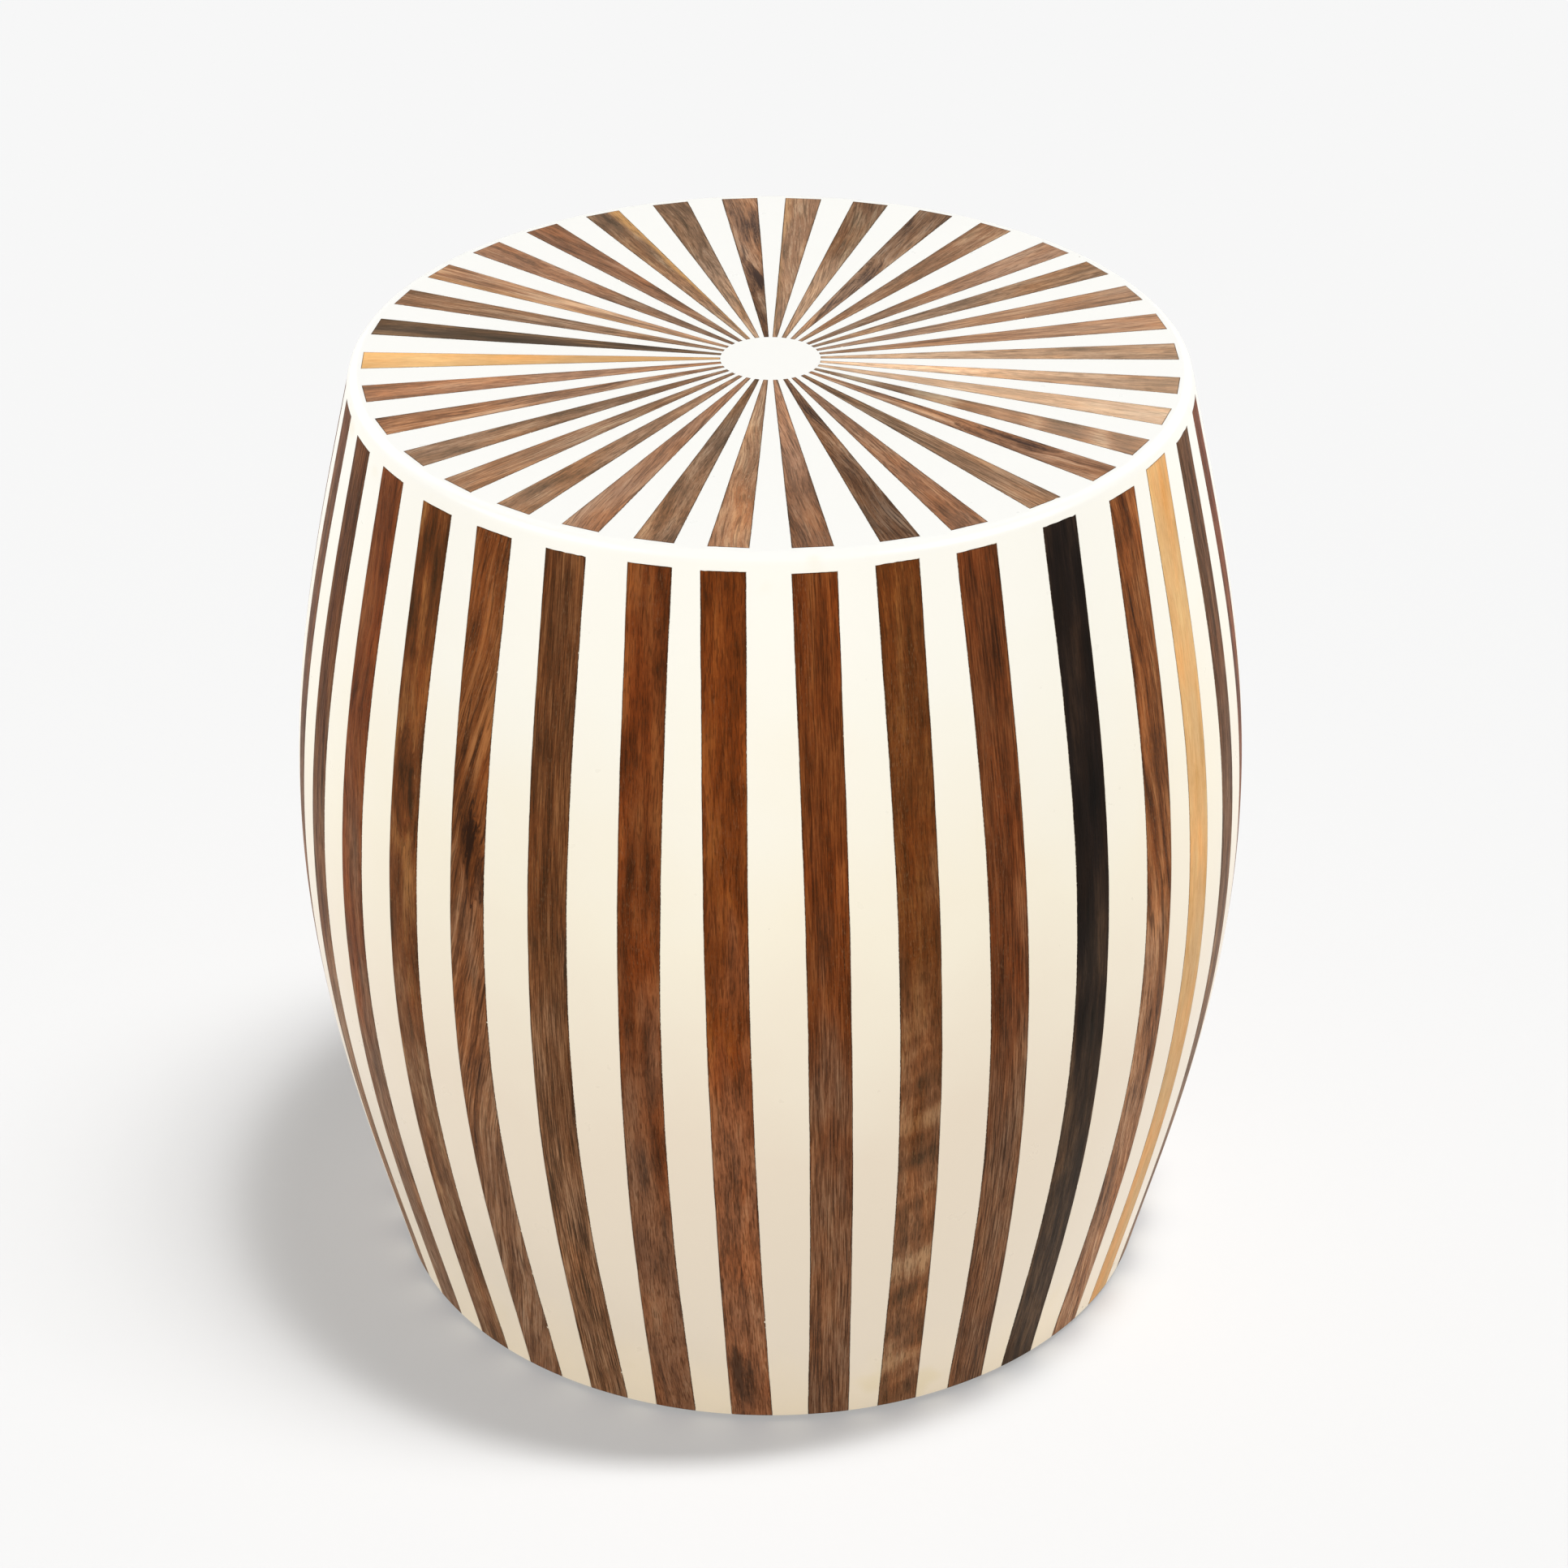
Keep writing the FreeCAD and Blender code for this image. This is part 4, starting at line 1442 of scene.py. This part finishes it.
@dataclass
class IvoryCoat:
    """The continuous coat round the strips, over the rim and between the rays."""

    plan: InlayPlan
    finish: IvoryFinish
    strip_columns: int = 10
    gap_columns: int = 6
    side_rows: int = 80
    brow_rows: int = 3
    rim_rows: int = 7
    margin_rows: int = 3
    spoke_rows: int = 40
    hub_rows: int = 3
    joint: float = 0.05 * MM
    depth: float = 3.2 * MM
    ease: float = 0.1 * MM

    @property
    def columns(self) -> int:
        """Columns of faces round the whole coat."""
        return self.plan.lines * (self.strip_columns + self.gap_columns)

    def _ring(self, spot: Spot) -> tuple[np.ndarray, np.ndarray]:
        """One ring of points round the table, through every line and every gap.

        Args:
            spot: Gives the angle and the height or radius of points across a line.

        Returns:
            Angles and heights or radii, the first point again at the end.
        """
        lines = self.plan.lines
        across = np.linspace(-1, 1, self.strip_columns + 1)
        shares = np.linspace(0, 1, self.gap_columns + 1)[1:-1]
        turns, others = [], []
        for line in range(lines):
            turn, other = spot(line, across)
            near_turn, near_other = spot((line + 1) % lines, across[:1])
            near_turn = near_turn + (2 * math.pi if line == lines - 1 else 0.0)
            turns += [turn, turn[-1] + shares * (near_turn - turn[-1])]
            others += [other, other[-1] + shares * (near_other - other[-1])]
        turns.append(turns[0][:1] + 2 * math.pi)
        others.append(others[0][:1])
        return np.concatenate(turns), np.concatenate(others)

    def _side_spot(self, share: float, brow: float) -> Spot:
        """A ring on the side.

        Args:
            share: Its place along the strips, 0 to 1.
            brow: Its place in the band above them, 0 to 1.

        Returns:
            What gives angle and height of points across a line.
        """
        plan = self.plan
        widen = 1 + 2 * self.joint / plan.strip_width

        def spot(line: int, across: np.ndarray) -> tuple[np.ndarray, np.ndarray]:
            """Place points across a line.

            Args:
                line: The line.
                across: The points' places across, -1 to 1.

            Returns:
                Their angles and heights.
            """
            height = plan.strip_height(line, across, np.full_like(across, share))
            height = height + brow * (plan.barrel.seam_z - height)
            return plan.strip_turn(line, across * widen, height), height

        return spot

    def _top_spot(self, share: float) -> Spot:
        """A ring on the top.

        Args:
            share: Its place along the rays, 0 to 1.

        Returns:
            What gives angle and radius of points across a line.
        """
        plan = self.plan
        widen = 1 + self.joint / (plan.ray_reach * plan.ray_slope)
        return lambda line, across: plan.ray_polar(line, across * widen, np.full_like(across, share))

    def _rows(self) -> list[np.ndarray]:
        """Every row of the coat, from the base edge up the side, over the rim and in to the hub.

        Returns:
            The rows' points.
        """
        barrel = self.plan.barrel
        rows = []
        shares = [(share, 0.0) for share in np.linspace(0, 1, self.side_rows + 1)]
        shares += [(1.0, brow) for brow in steps(self.brow_rows)]
        for share, brow in shares:
            turn, height = self._ring(self._side_spot(share, brow))
            rows.append(around(turn, barrel.radius(height), height))
        for step in steps(self.rim_rows):
            rows.append(around(turn, *barrel.rim(step)))
        edge = rows[-1]
        ends = around(*self._ring(self._top_spot(0.0)), barrel.top_z)
        for step in steps(self.margin_rows):
            rows.append(edge + step * (ends - edge))
        for share in steps(self.spoke_rows):
            rows.append(around(*self._ring(self._top_spot(share)), barrel.top_z))
        hub = rows[-1]
        centre = np.array((0.0, 0.0, barrel.top_z))
        for step in steps(self.hub_rows):
            rows.append(hub + step * (centre - hub))
        return rows

    def build(self) -> bpy.types.Object:
        """Model the coat as one sheet, cut out the wood's pockets and dress it.

        Returns:
            The coat.
        """
        rows = self._rows()
        piece = Bench.grid("ivory_coat", self.columns, len(rows) - 1)
        corners = Bench.corners(piece)
        column = np.rint(corners[:, 0] * self.columns).astype(int)
        row = np.rint(corners[:, 1] * (len(rows) - 1)).astype(int)
        centres = np.empty(len(piece.data.polygons) * 3)
        piece.data.polygons.foreach_get("center", centres)
        centres = centres.reshape(-1, 3)
        face_column = np.floor(centres[:, 0] * self.columns).astype(int)
        face_row = np.floor(centres[:, 1] * (len(rows) - 1)).astype(int)
        in_line = face_column % (self.strip_columns + self.gap_columns) < self.strip_columns
        spokes = self.side_rows + self.brow_rows + self.rim_rows + self.margin_rows
        in_strip = face_row < self.side_rows
        in_ray = (face_row >= spokes) & (face_row < spokes + self.spoke_rows)
        Bench.place(piece, np.array(rows)[row, column])
        Bench.cut_out(piece, in_line & (in_strip | in_ray))
        Bench.close(piece, COAT_MERGE)
        Bench.thicken(piece, self.depth, self.ease)
        piece.data.materials.append(self.finish.paint())
        seat(piece, self.finish.slot, "side_coat", "top_coat")
        return piece


@dataclass(frozen=True)
class PlainFinish:
    """A finish of the hidden carcass and its fixings."""

    name: str
    base: Colour
    vary: Colour
    scale: float
    stretch: float
    roughness: float
    metallic: float = 0.0

    def paint(self) -> bpy.types.Material:
        """Make the finish's material.

        Returns:
            The material.
        """
        material, sheet = new_material(self.name)
        place = sheet.node("ShaderNodeTexCoord").outputs["Object"]
        inputs = {"Vector": place, "Scale": (1.0, 1.0, self.stretch)}
        turned = sheet.node("ShaderNodeMapping", None, inputs)
        coarse = sheet.noise(turned.outputs[0], self.scale, 4.0, 0.6)
        colour = sheet.blend(coarse * 1.4 + 0.5, self.base, self.vary)
        inputs = {
            "Base Color": colour,
            "Roughness": self.roughness + 0.2 * coarse,
            "Metallic": self.metallic,
        }
        sheet.surface(inputs, coarse, 0.1 * MM)
        return material


class CarcassFinish(Enum):
    """Finishes of the carcass."""

    STAVE = PlainFinish("stave_wood", srgb(186, 146, 100), srgb(150, 110, 70), 90.0, 0.06, 0.6)
    BOARD = PlainFinish("panel_board", srgb(172, 138, 98), srgb(146, 112, 76), 420.0, 1.0, 0.75)
    HARDBOARD = PlainFinish("hardboard", srgb(104, 74, 48), srgb(82, 56, 36), 600.0, 1.0, 0.65)
    STEEL = PlainFinish("zinc_steel", srgb(176, 178, 180), srgb(150, 152, 152), 900.0, 1.0, 0.38, 1.0)
    NYLON = PlainFinish("nylon", srgb(52, 50, 48), srgb(40, 38, 36), 500.0, 1.0, 0.45)


@dataclass
class Carcass:
    """The staves, panels, ribs and fixings, which keep their solids."""

    finishes: dict[CarcassFinish, tuple[str, ...]]

    def dress(self, nodes: dict[str, bpy.types.Object]) -> list[bpy.types.Object]:
        """Give every kept solid its material.

        Args:
            nodes: The frame's solids by name.

        Returns:
            The dressed solids.
        """
        dressed = []
        for finish, names in self.finishes.items():
            material = finish.value.paint()
            for solid in (nodes[name] for name in names):
                for slot in solid.material_slots:
                    slot.material = material
                if not solid.material_slots:
                    solid.data.materials.append(material)
                dressed.append(solid)
        return dressed


CARCASS = Carcass({
    CarcassFinish.STAVE: ("staves",),
    CarcassFinish.BOARD: ("top_panel", "lower_rib", "upper_rib", "base_ring"),
    CarcassFinish.HARDBOARD: ("base_sheet",),
    CarcassFinish.STEEL: ("stave_screws", "sheet_pins", "glide_nails"),
    CarcassFinish.NYLON: ("floor_glides",),
})


@dataclass(frozen=True)
class Lamp:
    """One soft lamp far away."""

    name: str
    azimuth: float
    elevation: float
    strength: float
    angle: float
    shadow: bool = True


@dataclass
class Studio:
    """Floor, soft light and camera."""

    backdrop: float = 0.94
    dome: float = 0.18
    floor_size: float = 60.0
    floor_z: float = -0.2 * MM
    floor_seen: Colour = (0.45, 0.45, 0.45)
    floor_bounce: Colour = (0.2, 0.197, 0.19)
    lamps: tuple[Lamp, ...] = (
        Lamp("front", -90.0, 8.0, 0.3, 50.0),
        Lamp("front_left", -150.0, 20.0, 2.17, 50.0),
        Lamp("front_right", -30.0, 27.0, 2.16, 50.0),
        Lamp("back_left", 130.0, 27.0, 1.06, 50.0),
        Lamp("back_right", 50.0, 27.0, 1.1, 50.0),
    )
    floor_lamps: tuple[Lamp, ...] = (
        Lamp("floor_shade_1", -6.0, 83.0, 0.55, 6.0),
        Lamp("floor_shade_2", -8.0, 80.5, 0.86, 5.0),
        Lamp("floor_shade_3", -8.0, 78.5, 0.62, 5.0),
        Lamp("floor_shade_4", -6.0, 76.0, 0.5, 5.0),
        Lamp("floor_shade_5", -4.0, 73.5, 0.36, 5.0),
        Lamp("floor_shade_6", -2.0, 71.0, 0.25, 5.0),
        Lamp("floor_shade_7", 0.0, 68.0, 0.19, 6.0),
        Lamp("floor_shade_8", 0.0, 64.0, 0.18, 6.0),
        Lamp("floor_fill", 0.0, 90.0, 2.52, 20.0, False),
    )
    lens: float = 94.64
    distance: float = 1.6795
    eye: float = 1.2432
    tilt: float = 59.03
    shift: float = 0.0086

    @staticmethod
    def _seen(sheet: NodeSheet) -> Signal:
        """Tell what the camera sees from what only lights the table.

        Args:
            sheet: The nodes of the floor or the world.

        Returns:
            1 for what is seen straight, mirrored or through glass, else 0.
        """
        path = sheet.node("ShaderNodeLightPath")
        kinds = ("Is Camera Ray", "Is Glossy Ray", "Is Transmission Ray")
        straight, mirrored, through = (sheet.signal(path, kind) for kind in kinds)
        return (straight + mirrored + through).least(1.0)

    def _world(self) -> None:
        """Light the room evenly, with a pale backdrop."""
        world = bpy.data.worlds.new("studio")
        world.use_nodes = True
        bpy.context.scene.world = world
        sheet = NodeSheet(world.node_tree)
        light, back = (
            sheet.node("ShaderNodeBackground", None, {"Color": (1.0, 1.0, 1.0), "Strength": strength})
            for strength in (self.dome, self.backdrop)
        )
        inputs = {0: self._seen(sheet), 1: light.outputs[0], 2: back.outputs[0]}
        mixed = sheet.node("ShaderNodeMixShader", None, inputs)
        sheet.node("ShaderNodeOutputWorld", None, {"Surface": mixed.outputs[0]})

    def _floor(self) -> bpy.types.Object:
        """Lay the pale floor.

        Returns:
            The floor.
        """
        bpy.ops.object.select_all(action="DESELECT")
        bpy.ops.mesh.primitive_plane_add(size=self.floor_size, location=(0.0, 0.0, self.floor_z))
        floor = bpy.context.active_object
        floor.name = "floor"
        material, sheet = new_material("floor_paint")
        colour = sheet.blend(self._seen(sheet), self.floor_bounce, self.floor_seen)
        diffuse = sheet.node("ShaderNodeBsdfDiffuse", None, {"Color": colour})
        sheet.node("ShaderNodeOutputMaterial", None, {"Surface": diffuse.outputs[0]})
        floor.data.materials.append(material)
        return floor

    @staticmethod
    def _lamp(lamp: Lamp) -> bpy.types.Object:
        """Hang one lamp.

        Args:
            lamp: Where it stands and how strong it is.

        Returns:
            The lamp's object.
        """
        light = bpy.data.lights.new(lamp.name, "SUN")
        light.energy = lamp.strength
        light.angle = math.radians(lamp.angle)
        light.use_shadow = lamp.shadow
        thing = bpy.data.objects.new(lamp.name, light)
        bpy.context.scene.collection.objects.link(thing)
        turn = math.radians(lamp.azimuth)
        up = math.radians(lamp.elevation)
        flat = math.cos(up)
        toward = Vector((math.cos(turn) * flat, math.sin(turn) * flat, math.sin(up)))
        thing.rotation_euler = toward.to_track_quat("Z", "Y").to_euler()
        thing.location = toward * LAMP_DISTANCE
        return thing

    def build(self) -> None:
        """Set up the floor, the light and the camera."""
        floor = self._floor()
        self._world()
        table = bpy.data.collections.new("table_only")
        for thing in bpy.context.scene.collection.objects:
            if thing.type == "MESH" and thing != floor:
                table.objects.link(thing)
        ground = bpy.data.collections.new("floor_only")
        ground.objects.link(floor)
        for lamp in self.lamps:
            self._lamp(lamp).light_linking.receiver_collection = table
        for lamp in self.floor_lamps:
            self._lamp(lamp).light_linking.receiver_collection = ground
        camera = bpy.data.cameras.new("camera")
        camera.lens = self.lens
        camera.shift_x = self.shift
        thing = bpy.data.objects.new("camera", camera)
        thing.location = (0.0, -self.distance, self.eye)
        thing.rotation_euler = (math.radians(self.tilt), 0.0, 0.0)
        bpy.context.scene.collection.objects.link(thing)
        bpy.context.scene.camera = thing
        bpy.context.scene.view_settings.view_transform = "Standard"


def main() -> None:
    """Build and dress the table, piece by piece, then the studio."""
    logging.basicConfig(level=logging.INFO, format="%(name)s: %(message)s")
    plan = InlayPlan(BarrelForm())
    coat = IvoryCoat(plan, IvoryFinish()).build()
    LOG.info("coat %s: %d faces", coat.name, len(coat.data.polygons))
    for piece in SideStrips(plan, VeneerPainter()).build():
        LOG.info("strip %s: %d faces", piece.name, len(piece.data.polygons))
    # The rays have almost no polish; their lighter bleached colour stands partly for painted sheen of
    # the lacquered top.
    matt_with_painted_sheen = VeneerPainter(bleach_and_sheen=srgb(217, 180, 146), polish=0.004)
    for piece in TopRays(plan, matt_with_painted_sheen).build():
        LOG.info("rays %s: %d faces", piece.name, len(piece.data.polygons))
    for solid in CARCASS.dress(frame["nodes"]):
        LOG.info("carcass %s dressed", solid.name)
    Studio().build()


if __name__ == "__main__":
    main()
